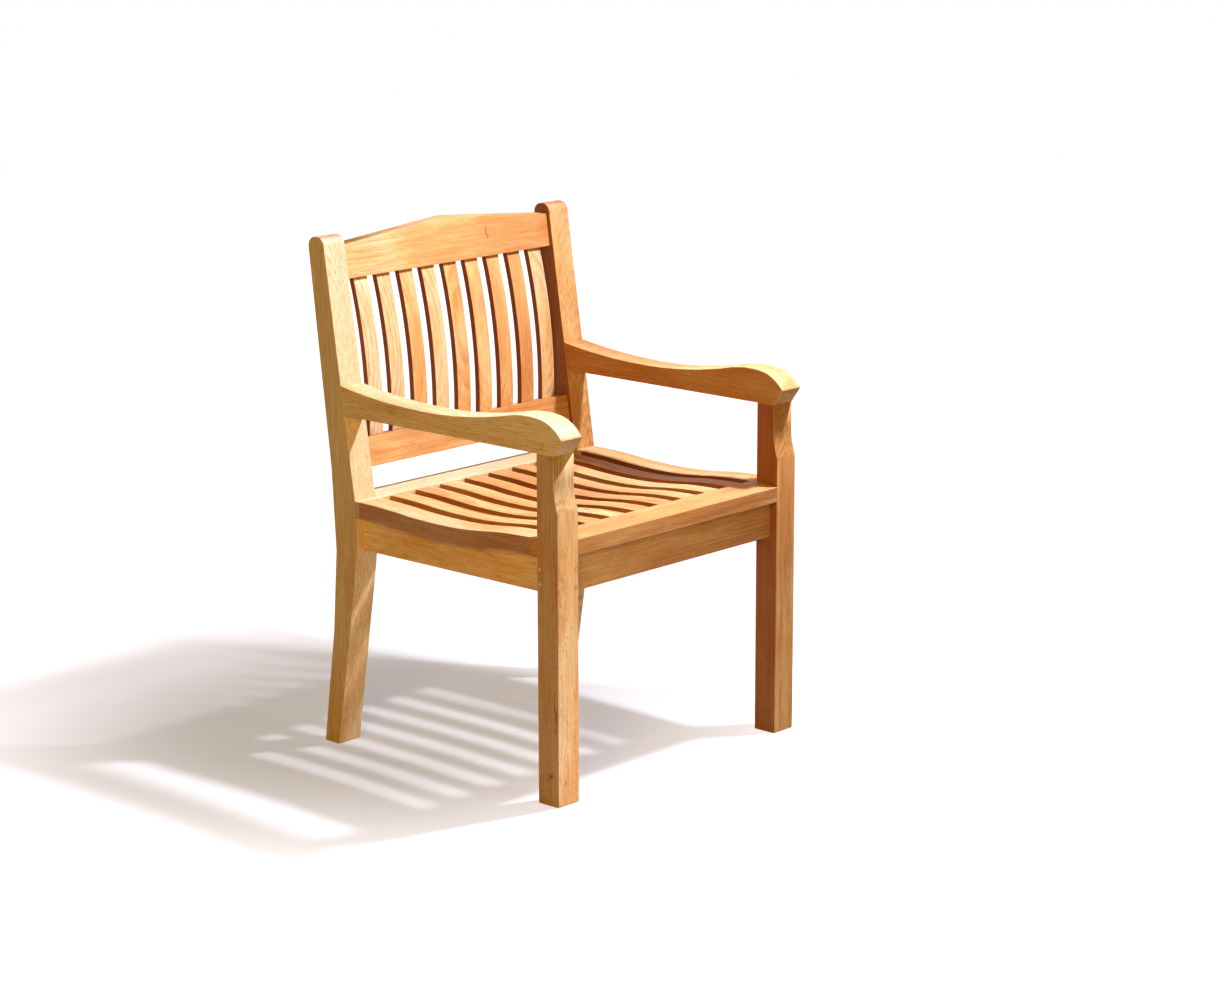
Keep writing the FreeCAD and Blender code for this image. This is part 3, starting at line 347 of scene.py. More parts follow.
@dataclass
class Workshop:
    """Turns surfaces into boards of the chair, each with its own grain and tone."""

    finishes: dict[Slot, bpy.types.Material]
    seed: int = 41
    pith_low: Place = (-3.0, -0.05, 0.05)
    pith_high: Place = (3.0, 0.05, 0.13)
    tone_spread: float = 0.12
    count: int = 0
    dice: np.random.Generator = field(init=False)

    def __post_init__(self) -> None:
        """Seed the choice of each board's wood."""
        self.dice = np.random.default_rng(self.seed)

    def board(self, name: str, node: str, surface: Surface, grain: Grain,
              timber: Timber = Timber(), slot: Slot = Slot.TEAK) -> None:
        """Make a board of a surface and let it stand for a node.

        The grain attribute holds each point's place in the board's own wood:
        metres along the grain, and across it from the middle of the tree. The
        side_shade attribute is painted shade: the fourth power of how squarely a
        point looks aside, weighed by the timber's side shade on each side.

        Args:
            name: the piece's name.
            node: the frame's node that it stands for.
            surface: its closed surface.
            grain: the way its grain runs.
            timber: the wood picked for it.
            slot: the record's slot whose finish it takes.
        """
        along = np.array(grain.value)
        along /= np.linalg.norm(along)
        side = np.array([0.0, 0.0, 1.0]) if grain is Grain.ALONG_X else np.array([1.0, 0.0, 0.0])
        side -= along * (side @ along)
        side /= np.linalg.norm(side)
        axes = np.stack([along, side, np.cross(along, side)])
        middle = surface.points.mean(axis=0)
        wood = (surface.points - middle) @ axes.T \
            + self.dice.uniform(self.pith_low, self.pith_high)

        mesh = bpy.data.meshes.new(name)
        mesh.from_pydata(surface.points.tolist(), [], surface.faces)
        mesh.polygons.foreach_set("use_smooth", np.ones(len(mesh.polygons), bool))
        mesh.normals_split_custom_set_from_vertices(surface.normals.tolist())
        reach = (surface.points - middle) @ along
        tones = timber.tone + self.dice.normal(0, self.tone_spread) \
            + timber.drift * reach / np.abs(reach).max()
        aside = surface.normals[:, 0]
        # Painted shade: the faces that look to the right and to the left are darkened
        right, left = timber.side_shade
        side_shade = right * np.clip(-aside, 0, 1) ** 4 + left * np.clip(aside, 0, 1) ** 4
        end = np.abs(surface.normals @ along)
        for title, values in (("grain", wood), ("tone", tones), ("arris", surface.arris),
                              ("end", end), ("side_shade", side_shade)):
            kind, key = ("FLOAT", "value") if values.ndim == 1 else ("FLOAT_VECTOR", "vector")
            attribute = mesh.attributes.new(title, kind, "POINT")
            attribute.data.foreach_set(key, values.astype(np.float32).ravel())
        mesh.materials.append(self.finishes[slot])
        piece = bpy.data.objects.new(name, mesh)
        bpy.context.scene.collection.objects.link(piece)
        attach(piece, ROOT)
        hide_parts(node)
        self.count += 1
        log.info("%s: %d points", name, len(surface.points))

    def pair(self, name: str, node: str, both: Iterable[Surface], grain: Grain,
             timbers: Iterable[Timber]) -> None:
        """Make the right and the left board of a pair.

        Args:
            name: the pieces' name without their side.
            node: the nodes' name without their side.
            both: their surfaces.
            grain: the way their grain runs.
            timbers: the wood picked for each.
        """
        for label, surface, timber in zip(SIDES, both, timbers):
            self.board(f"{name}_{label}", f"{node}_{label}", surface, grain, timber)

    def row(self, name: str, node: str, slats: Iterable[Surface], grain: Grain,
            timbers: Iterable[Timber]) -> None:
        """Make a row of slats, numbered from the right.

        Args:
            name: the pieces' name without their number.
            node: the nodes' name without their number.
            slats: their surfaces.
            grain: the way their grain runs.
            timbers: the wood picked for each.
        """
        for number, (surface, timber) in enumerate(zip(slats, timbers), start=1):
            self.board(f"{name}_{number}", f"{node}_{number}", surface, grain, timber)


@dataclass(frozen=True)
class Body:
    """Sizes that the whole chair shares.

    Boards lie shy of the solids' outer faces. Ease rounds their rims and corner
    the corners of their outlines. The seam is what stays open between boards that
    lie flush, and bury is how far a hidden end runs on.
    """

    width: float = 0.600
    depth: float = 0.584
    overhang: float = 0.010
    member: float = 0.049
    leg_depth: float = 0.046
    leg_cutback: float = 0.009
    shy: float = 0.0002
    ease: float = 0.0011
    corner: float = 0.0015
    seam: float = 0.0018
    bury: float = 0.006
    seat_height: float = 0.4455
    seat_low: float = 0.4328
    seat_rear: float = 0.4404
    seat_dip_depth: float = 0.265
    seat_thickness: float = 0.029
    front_rail: float = 0.060
    side_rail: float = 0.400
    rear_rail: float = 0.064
    apron_bottom: float = 0.352
    arm_underside: float = 0.5855

    @property
    def front(self) -> float:
        """The front of the legs."""
        return self.overhang - self.depth / 2

    @property
    def rear(self) -> float:
        """The rear of the posts' tops."""
        return self.depth / 2

    @property
    def clear(self) -> float:
        """The width between the legs."""
        return self.width - 2 * self.member

    @property
    def leg_side(self) -> float:
        """The middle of a leg, off the middle of the chair."""
        return (self.width - self.member) / 2

    @property
    def flush(self) -> float:
        """How far a board runs into one that it lies flush with.

        Both are rounded there, so a fine groove is left, and no face lies in a face.
        """
        return self.ease + self.corner - self.seam

    def member_span(self, sign: int) -> tuple[float, float]:
        """Both sides of a leg, arm or post, a shade inside their full width."""
        half = self.member / 2 - self.shy
        return sign * self.leg_side - half, sign * self.leg_side + half

    @property
    def outer(self) -> float:
        """The outer side of the legs, off the middle of the chair."""
        return self.width / 2 - self.shy

    @property
    def rear_rail_front(self) -> float:
        """The front of the seat's rear rail."""
        return self.front + self.front_rail + self.side_rail

    def seat_line(self, drop: float) -> list[Corner]:
        """The dished line of the seat from front to rear, at a drop below it.

        Args:
            drop: how far it lies below the seat.

        Returns:
            Corners from inside the front rail to inside the rear one, joined by two
            arcs each side of the dip.
        """
        start = self.front + self.front_rail
        dip = self.front + self.seat_dip_depth
        end = self.rear_rail_front
        fall = (self.seat_height - self.seat_low) / 2
        rise = (self.seat_rear - self.seat_low) / 2
        ahead = level_radius((dip - start) / 2, fall)
        behind = level_radius((end - dip) / 2, rise)
        spare = self.corner + self.shy
        rows = [(start - spare, self.seat_height, 0.0, 0), (start, self.seat_height, 0.0, 0),
                ((start + dip) / 2, self.seat_low + fall, ahead, -1),
                (dip, self.seat_low, ahead, 1), ((dip + end) / 2, self.seat_low + rise, behind, 1),
                (end, self.seat_rear, behind, -1), (end + spare, self.seat_rear, 0.0, 0)]
        return [Corner(y, z - drop, 0.0, radius, turn) for y, z, radius, turn in rows]

    def seat_band(self, thickness: float) -> Outline:
        """The outline of a slat or side rail of the seat, seen from the side.

        Args:
            thickness: from its top to its bottom.

        Returns:
            The outline, with its four outer corners rounded.
        """
        lower, upper = self.seat_line(thickness), self.seat_line(0.0)
        # Back along the top, each arc is met from its other end
        back = [replace(corner, radius=after.radius, turn=-after.turn)
                for corner, after in zip(upper[-2::-1], upper[:0:-1])]
        whole = lower + [upper[-1]] + back
        ends = (0, len(lower) - 1, len(lower), len(whole) - 1)
        return trace(replace(corner, ease=self.corner) if place in ends else corner
                     for place, corner in enumerate(whole))

    def both_sides(self, outline: Outline, steps: int = 3) -> list[Surface]:
        """The right and left board of an outline seen from the side.

        Args:
            outline: the outline.
            steps: how many rings take up the rounding of a rim.

        Returns:
            Both surfaces, a leg wide.
        """
        return [slab(outline, SIDE_VIEW, *self.member_span(sign), self.ease, steps)
                for sign in SIDES.values()]

    def row(self, outline: Outline, count: int, width: float) -> list[Surface]:
        """A row of slats that share the clear width evenly.

        Args:
            outline: a slat seen from the side.
            count: how many there are.
            width: how wide each one is.

        Returns:
            Their surfaces from right to left.
        """
        gap = (self.clear - count * width) / (count + 1)
        middles = (np.arange(count) - (count - 1) / 2) * (width + gap)
        return [slab(outline, SIDE_VIEW, middle - width / 2, middle + width / 2, self.ease)
                for middle in middles]


@dataclass(frozen=True)
class Posts:
    """The rear posts: foot, bend at the seat, raked and rounded top."""

    body: Body
    top: float = 0.884
    top_depth: float = 0.036
    top_round: float = 0.0165
    foot_depth: float = 0.036
    foot_inset: float = 0.015
    foot_ease: float = 0.003
    rear_knee_inset: float = 0.0625
    rear_knee_height: float = 0.3465
    rear_knee_radius: float = 1.140
    front_knee_height: float = 0.3817
    front_knee_radius: float = 0.420
    knee_depth: float = 0.0484
    arc_step: float = 0.02
    # Partly painted light: the right post is paler, more so towards its top, for the stronger
    # light there; sides get painted shade, most on the left post's inner side
    timbers: tuple[Timber, Timber] = (Timber(-1.3, -0.6, (0.40, 0.5)),
                                      Timber(0.2, 0.0, (1.0, 0.0)))

    @property
    def knee_front(self) -> float:
        """Where the front of a post bends."""
        return self.body.rear - self.rear_knee_inset - self.knee_depth

    @property
    def rake(self) -> float:
        """How far the post's front leans back for each metre up."""
        run = self.body.rear - self.top_depth - self.knee_front
        return run / (self.top - self.front_knee_height)

    def front_at(self, height: float) -> float:
        """Where the raked front stands at a height."""
        return self.knee_front + self.rake * (height - self.front_knee_height)

    def raked_plane(self) -> Plane:
        """The plane of the posts' raked front, with its origin at their bend."""
        along = np.array([0.0, self.rake, 1.0]) / math.hypot(self.rake, 1)
        return Plane((1.0, 0.0, 0.0), tuple(along), (0.0, self.knee_front, self.front_knee_height))

    def up_slope(self, height: float, deep: float) -> float:
        """How far up the slope a height is reached, behind the posts' front."""
        slope = math.hypot(self.rake, 1)
        return (height - self.front_knee_height) * slope + deep * self.rake

    def outline(self) -> Outline:
        """A post from the side.

        Returns:
            The outline: each knee is rounded by an arc of its own radius.
        """
        body = self.body
        foot = body.rear - self.foot_inset
        slope = self.rear_knee_inset / (self.top - self.rear_knee_height)
        return trace([
            Corner(foot - self.foot_depth, 0.0, self.foot_ease),
            Corner(foot, 0.0, self.foot_ease),
            Corner(body.rear - self.rear_knee_inset, self.rear_knee_height,
                   self.rear_knee_radius),
            Corner(body.rear + self.top_round * slope, self.top, self.top_round),
            Corner(self.front_at(self.top), self.top, self.top_round),
            Corner(self.knee_front, self.front_knee_height, self.front_knee_radius)],
            self.arc_step)

    def build(self, shop: Workshop) -> None:
        """Make both posts."""
        shop.pair("post", "rear_post", self.body.both_sides(self.outline()), Grain.UPRIGHT,
                  self.timbers)


@dataclass(frozen=True)
class FrontLegs:
    """The front legs, hollowed back below the arms."""

    body: Body
    cove_bottom: float = 0.492
    cove_top: float = 0.541
    foot_ease: float = 0.003
    # Partly painted light: the right leg is paler, for the stronger light on that side; sides get
    # painted shade, most on the left leg's inner side
    timbers: tuple[Timber, Timber] = (Timber(-0.6, -0.1, (0.61, 0.5)),
                                      Timber(0.1, 0.1, (0.95, 0.0)))

    def outline(self) -> Outline:
        """A leg from the side.

        Returns:
            The outline: the hollow is an arc, crisp at its lower end and upright at its top.
        """
        body = self.body
        rear = body.front + body.leg_depth
        step = body.front + body.leg_cutback
        top = body.arm_underside + body.flush
        curve = level_radius(self.cove_top - self.cove_bottom, body.leg_cutback)
        return trace([
            Corner(body.front, 0.0, self.foot_ease), Corner(rear, 0.0, self.foot_ease),
            Corner(rear, top), Corner(step, top), Corner(step, self.cove_top),
            Corner(body.front, self.cove_bottom, 0.0, curve, -1)])

    def build(self, shop: Workshop) -> None:
        """Make both legs."""
        shop.pair("leg", "front_leg", self.body.both_sides(self.outline()), Grain.UPRIGHT,
                  self.timbers)


@dataclass(frozen=True)
class Arms:
    """The arms: nose, crest, dip and rise to the post."""

    body: Body
    posts: Posts
    nose_height: float = 0.612
    nose_depth: float = 0.040
    crest_depth: float = 0.066
    crest_height: float = 0.644
    crest_radius: float = 0.200
    dip_depth: float = 0.298
    dip_height: float = 0.6188
    rear_height: float = 0.6356
    under_ease: float = 0.0015
    nose_ease: float = 0.0040
    arc_step: float = 0.004
    rim_steps: int = 4
    # Partly painted light: the drift pales both noses as a painted highlight, the right arm is
    # paler for the stronger light on that side, and sides get painted shade, most on the left
    # arm's inner side
    timbers: tuple[Timber, Timber] = (Timber(-1.0, 0.3, (0.2, 0.3)),
                                      Timber(0.1, 0.7, (0.65, 0.0)))

    def outline(self) -> Outline:
        """An arm from the side, counterclockwise from its underside.

        Returns:
            The outline: from the post its top dips, crests and falls to the nose, and
            each of those arcs leaves the one before without a corner.
        """
        body = self.body
        crest = body.front + self.crest_depth
        dip = body.front + self.dip_depth
        nose = body.front + self.nose_depth
        radius = self.crest_radius
        drop = radius - math.sqrt(radius ** 2 - (crest - nose) ** 2)
        nose_top = self.crest_height - drop
        both = level_radius(dip - crest, self.crest_height - self.dip_height)
        turn_y = crest + (dip - crest) * radius / both
        turn_z = self.crest_height - (self.crest_height - self.dip_height) * radius / both
        rear = self.posts.front_at(self.rear_height)
        inside = rear + body.flush
        rise = level_radius(rear - dip, self.rear_height - self.dip_height)
        climb = rise - math.sqrt(rise ** 2 - (inside - dip) ** 2)
        tip = body.front - body.overhang
        run, lift = nose - tip, nose_top - self.nose_height
        # The nose's arc is tangent to the crest's: their centres and the joint are in line
        lean = run * (crest - nose) + lift * (drop - radius)
        nose_radius = -((run ** 2 + lift ** 2) * radius) / (2 * lean)
        return trace([
            Corner(body.front + body.leg_cutback, body.arm_underside, self.under_ease),
            Corner(self.posts.front_at(body.arm_underside) + body.flush, body.arm_underside),
            Corner(inside, self.dip_height + climb),
            Corner(dip, self.dip_height, 0.0, rise, -1),
            Corner(turn_y, turn_z, 0.0, both - radius, -1),
            Corner(crest, self.crest_height, 0.0, radius, 1),
            Corner(nose, nose_top, 0.0, radius, 1),
            Corner(tip, self.nose_height, self.nose_ease, nose_radius, 1)], self.arc_step)

    def build(self, shop: Workshop) -> None:
        """Make both arms.

        Args:
            shop: makes the boards.
        """
        # The open end, ahead of here, has no joint whose edge could darken
        nose = self.body.front + self.nose_depth
        both = [replace(surface, arris=surface.arris * (surface.points[:, 1] > nose))
                for surface in self.body.both_sides(self.outline(), self.rim_steps)]
        shop.pair("arm_rest", "arm", both, Grain.ALONG_Y, self.timbers)


@dataclass(frozen=True)
class Seat:
    """The seat: a dished row of slats between four rails."""

    body: Body
    posts: Posts
    slats: int = 8
    slat_width: float = 0.036
    slat_thickness: float = 0.020
    front_timber: Timber = Timber(0.8)
    rear_timber: Timber = Timber(-1.2)
    # The side rails' sides get painted shade, most on the left rail's inner side
    side_timbers: tuple[Timber, Timber] = (Timber(-0.6, 0.0, (0.80, 0.75)),
                                           Timber(-0.1, 0.0, (1.15, 0.0)))
    # The last slat's tone of 3.0 is painted shade, for the left arm's shadow on it
    slat_tones: tuple[float, ...] = (0.3, 0.5, 0.1, 0.5, 0.9, 0.3, -0.2, 3.0)
    # Painted shade on the slats' sides, which face the gaps
    slat_side_shade: tuple[float, float] = (0.75, 0.75)

    def front_rail(self) -> Surface:
        """The front rail in plan, notched round the legs, its top crowned to the front.

        Returns:
            Its surface: with a the way ahead of its rear edge, the top is lowered by
            R - sqrt(R^2 - a^2), where R is the radius of the seat's own fall.
        """
        body = self.body
        half, outer = body.clear / 2 + body.flush, body.outer
        front, rear = body.front, body.front + body.front_rail
        notch = front + body.leg_depth - body.flush
        ease = body.corner
        outline = trace([
            Corner(-outer, notch, ease), Corner(-half, notch), Corner(-half, front, ease),
            Corner(half, front, ease), Corner(half, notch), Corner(outer, notch, ease),
            Corner(outer, rear, ease), Corner(-outer, rear, ease)])
        bottom = body.seat_height - body.seat_thickness
        surface = slab(outline, PLAN_VIEW, bottom, body.seat_height, body.ease)
        curve = level_radius((body.seat_dip_depth - body.front_rail) / 2,
                             (body.seat_height - body.seat_low) / 2)
        points, normals = surface.points.copy(), surface.normals.copy()
        ahead = np.clip(rear - points[:, 1], 0, None)
        upper = np.clip((points[:, 2] - bottom) / body.seat_thickness, 0, 1)
        points[:, 2] -= upper * (curve - np.sqrt(curve ** 2 - ahead ** 2))
        normals[:, 1] -= np.where(normals[:, 2] > 0, normals[:, 2] * ahead / curve, 0)
        normals /= np.linalg.norm(normals, axis=1, keepdims=True)
        return Surface(points, normals, surface.faces, surface.arris)

    def rear_rail(self) -> Surface:
        """The rear rail in plan, notched round the posts.

        Returns:
            Its surface.
        """
        body = self.body
        half, outer, ease = body.clear / 2 + body.seam, body.outer, body.corner
        front, rear = body.rear_rail_front, body.rear_rail_front + body.rear_rail
        notch = self.posts.front_at(body.seat_rear) + body.flush
        outline = trace([
            Corner(-outer, front, ease), Corner(outer, front, ease),
            Corner(outer, notch, ease), Corner(half, notch), Corner(half, rear),
            Corner(-half, rear), Corner(-half, notch), Corner(-outer, notch, ease)])
        bottom = body.seat_rear - body.seat_thickness
        return slab(outline, PLAN_VIEW, bottom, body.seat_rear, body.ease)

    def build(self, shop: Workshop) -> None:
        """Make the rails and the slats.

        Args:
            shop: makes the boards.
        """
        body = self.body
        shop.board("seat_front_board", "front_seat_rail", self.front_rail(), Grain.ALONG_X,
                   self.front_timber)
        shop.board("seat_rear_board", "rear_seat_rail", self.rear_rail(), Grain.ALONG_X,
                   self.rear_timber)
        shop.pair("seat_side_board", "side_seat_rail",
                  body.both_sides(body.seat_band(body.seat_thickness)), Grain.ALONG_Y,
                  self.side_timbers)
        shop.row("seat_board", "seat_slat",
                 body.row(body.seat_band(self.slat_thickness), self.slats, self.slat_width),
                 Grain.ALONG_Y, (Timber(tone, side_shade=self.slat_side_shade) for tone in self.slat_tones))


@dataclass(frozen=True)
class Aprons:
    """The four aprons below the seat."""

    body: Body
    posts: Posts
    thickness: float = 0.024
    front_inset: float = 0.016
    side_inset: float = 0.018
    rear_inset: float = 0.023
    cross_timber: Timber = Timber(0.5)

    def build(self, shop: Workshop) -> None:
        """Make the aprons; their tops run a little way into the seat.

        Args:
            shop: makes the boards.
        """
        body = self.body
        half = body.clear / 2 + body.bury
        cross = (("front", body.front + self.front_inset, body.seat_height),
                 ("rear", body.rear_rail_front + self.rear_inset, body.seat_rear))
        for label, start, seat in cross:
            top = seat - body.seat_thickness + body.bury
            outline = rectangle((start, body.apron_bottom), (start + self.thickness, top),
                                body.corner)
            shop.board(f"{label}_skirt", f"{label}_apron",
                       slab(outline, SIDE_VIEW, -half, half, body.ease), Grain.ALONG_X,
                       self.cross_timber)
        top = body.seat_low - body.seat_thickness + body.bury
        outline = rectangle((body.front + body.leg_depth - body.bury, body.apron_bottom),
                            (self.posts.knee_front + 2 * body.bury, top), body.corner)
        for label, sign in SIDES.items():
            outer = sign * (body.width / 2 - self.side_inset)
            low, high = sorted((outer, outer - sign * self.thickness))
            shop.board(f"side_skirt_{label}", f"side_apron_{label}",
                       slab(outline, SIDE_VIEW, low, high, body.ease), Grain.ALONG_Y)


@dataclass(frozen=True)
class Back:
    """The back: two raked rails with a row of slats that bow forward."""

    body: Body
    posts: Posts
    lower_height: float = 0.4895
    lower_width: float = 0.0515
    lower_thickness: float = 0.028
    lower_inset: float = 0.008
    crest_bottom: float = 0.8085
    crest_end: float = 0.8665
    crest_peak: float = 0.8879
    peak_round: float = 0.150
    crest_thickness: float = 0.024
    crest_inset: float = 0.0065
    slats: int = 9
    slat_width: float = 0.032
    slat_thickness: float = 0.011
    slat_bow: float = 0.0105
    slat_housing: float = 0.008
    lower_setback: float = 0.011
    upper_setback: float = 0.0065
    arc_step: float = 0.012
    lower_timber: Timber = Timber(0.7, 0.2)
    # The crest's drift is painted light: paler towards its right end, where more light falls
    crest_timber: Timber = Timber(0.35, 0.8)
    # Painted shade on the slats' sides, which face the gaps
    slat_side_shade: tuple[float, float] = (1.15, 1.15)
    slat_tones: tuple[float, ...] = (-1.1, -0.7, 0.2, -0.5, 0.1, -0.1, 0.3, 1.2, -0.4)

    def lower_rail(self) -> Surface:
        """The lower rail.

        Returns:
            Its surface.
        """
        low = self.posts.up_slope(self.lower_height, self.lower_inset)
        half = self.body.clear / 2 + self.body.bury
        outline = rectangle((-half, low), (half, low + self.lower_width), 0.0)
        return slab(outline, self.posts.raked_plane(), -self.lower_inset - self.lower_thickness,
                    -self.lower_inset, self.body.ease)

    def crest_rail(self) -> Surface:
        """The crest rail, which climbs from both ends to an eased peak.

        Returns:
            Its surface. The top is level from front to rear, so behind the face it
            rises up the slope by the rake for each metre.
        """
        posts = self.posts
        low = posts.up_slope(self.crest_bottom, self.crest_inset)
        end = posts.up_slope(self.crest_end, self.crest_inset)
        peak = posts.up_slope(self.crest_peak, self.crest_inset)
        half, bury = self.body.clear / 2, self.body.bury
        below = (peak - end) * bury / half
        outline = trace([
            Corner(-half - bury, low), Corner(half + bury, low), Corner(half + bury, end - below),
            Corner(0.0, peak, self.peak_round), Corner(-half - bury, end - below)])
        surface = slab(outline, posts.raked_plane(), -self.crest_inset - self.crest_thickness,
                       -self.crest_inset, self.body.ease)
        plane = posts.raked_plane()
        axes = plane.axes()
        local = (surface.points - np.array(plane.origin)) @ axes.T
        behind = -self.crest_inset - local[:, 2]
        upper = local[:, 1] > (low + end) / 2
        local[:, 1] += np.where(upper, behind * posts.rake, 0)
        return Surface(local @ axes + np.array(plane.origin), surface.normals, surface.faces,
                       surface.arris)

    def slat_outline(self) -> Outline:
        """A back slat from the side: two arcs about one centre, behind the slat.

        Returns:
            The outline, whose ends run on into the rails.
        """
        posts = self.posts
        plane = posts.raked_plane()
        along = np.array(plane.up)[1:]
        behind = np.array([along[1], -along[0]])
        origin = np.array(plane.origin)[1:]
        foot = origin + along * (posts.up_slope(self.lower_height, self.lower_inset)
                                 + self.lower_width) \
            + behind * (self.lower_inset + self.lower_setback)
        head = origin + along * posts.up_slope(self.crest_bottom, self.crest_inset) \
            + behind * (self.crest_inset + self.upper_setback)
        chord = float(np.linalg.norm(head - foot))
        slope = (head - foot) / chord
        square = np.array([slope[1], -slope[0]])
        radius = level_radius(chord / 2, self.slat_bow)
        centre = (foot + head) / 2 + square * (radius - self.slat_bow)
        span = (chord / 2 + self.slat_housing) / radius
        depth = math.sqrt(1 - span ** 2)

        def end(way: int, ring: float) -> tuple[float, float]:
            """The end of an arc: below for -1, above for 1."""
            place = centre + (slope * (span * way) - square * depth) * ring
            return float(place[0]), float(place[1])

        inner = radius - self.slat_thickness
        return trace([Corner(*end(-1, radius), 0.0, radius, 1), Corner(*end(-1, inner)),
                      Corner(*end(1, inner), 0.0, inner, -1), Corner(*end(1, radius))],
                     self.arc_step)

    def build(self, shop: Workshop) -> None:
        """Make the rails and the slats.

        Args:
            shop: makes the boards.
        """
        shop.board("back_lower_board", "lower_back_rail", self.lower_rail(), Grain.ALONG_X,
                   self.lower_timber)
        shop.board("back_crest_board", "crest_rail", self.crest_rail(), Grain.ALONG_X,
                   self.crest_timber)
        shop.row("back_board", "back_slat",
                 self.body.row(self.slat_outline(), self.slats, self.slat_width), Grain.RAKED,
                 (Timber(tone, side_shade=self.slat_side_shade) for tone in self.slat_tones))


@dataclass(frozen=True)
class Pegs:
    """Heads of the pegs that lock the joints, a hair proud of the wood round them.

    A place gives the depth behind the legs' front, or the way off the middle for
    the pegs in front, and then the height.
    """

    body: Body
    radius: float = 0.004
    neck: float = 0.001
    count: int = 24
    apron_side: tuple[tuple[float, float], ...] = ((0.040, 0.395), (0.040, 0.370))
    apron_front: tuple[tuple[float, float], ...] = ((0.257, 0.395), (0.257, 0.364))
    arm_side: tuple[tuple[float, float], ...] = ((0.035, 0.598), (0.5021, 0.603))
    spread_shares: tuple[float, ...] = (1.0, 1.0, 0.9, 0.7, 0.4, 0.02)
    lean_shares: tuple[float, ...] = (1.0, 0.5, 0.15, 0.05, 0.01, 0.0)
    rim_shares: tuple[float, ...] = (1.0, 1.0, 0.7, 0.1, 0.0, 0.0)

    def heads(self, places: list[tuple[tuple, tuple]]) -> Surface:
        """Low domes: after a short neck, with r from 1 to 0, the rise is shy * (1 - r^4).

        Args:
            places: where each head stands on the wood, and the way that it looks.

        Returns:
            The heads as one surface.
        """
        spread = np.array(self.spread_shares)
        lean = np.array(self.lean_shares)[:, None, None]
        rise = np.append(-self.neck, self.body.shy * (1 - spread[1:] ** 4))
        turn = np.linspace(0, 2 * math.pi, self.count + 1)[:-1]
        points, normals, faces = [], [], []
        for number, (middle, look) in enumerate(places):
            out = np.array(look, float)
            across = np.cross((0.0, 0.0, 1.0), out)
            up = np.cross(out, across)
            circle = np.multiply.outer(np.cos(turn), across) + np.multiply.outer(np.sin(turn), up)
            shell = np.array(middle) + self.radius * spread[:, None, None] * circle \
                + rise[:, None, None] * out
            points.append(shell.reshape(-1, 3))
            normals.append((circle * lean + out * np.sqrt(1 - lean ** 2)).reshape(-1, 3))
            faces += shell_faces(len(spread), self.count, number * len(spread) * self.count)
        rims = np.tile(np.repeat(self.rim_shares, self.count), len(places))
        return Surface(np.concatenate(points), np.concatenate(normals), faces, rims)

    def build(self, shop: Workshop) -> None:
        """Make both sets of heads.

        Args:
            shop: makes the boards.
        """
        body = self.body
        apron, arm = [], []
        for sign in SIDES.values():
            side, look = sign * body.outer, (sign, 0.0, 0.0)
            apron += [((side, body.front + depth, height), look)
                      for depth, height in self.apron_side]
            apron += [((sign * across, body.front, height), (0.0, -1.0, 0.0))
                      for across, height in self.apron_front]
            arm += [((side, body.front + depth, height), look)
                    for depth, height in self.arm_side]
        for label, places in (("apron", apron), ("arm", arm)):
            shop.board(f"peg_heads_{label}", f"{label}_pegs", self.heads(places), Grain.ALONG_X,
                       slot=Slot.PEG)


# Finishes


def linear(red: int, green: int, blue: int) -> Colour:
    """A colour of 0 to 255 as the shaders take it: ((c + 0.055) / 1.055) ^ 2.4."""
    return tuple(((c / 255 + 0.055) / 1.055) ** 2.4 for c in (red, green, blue))


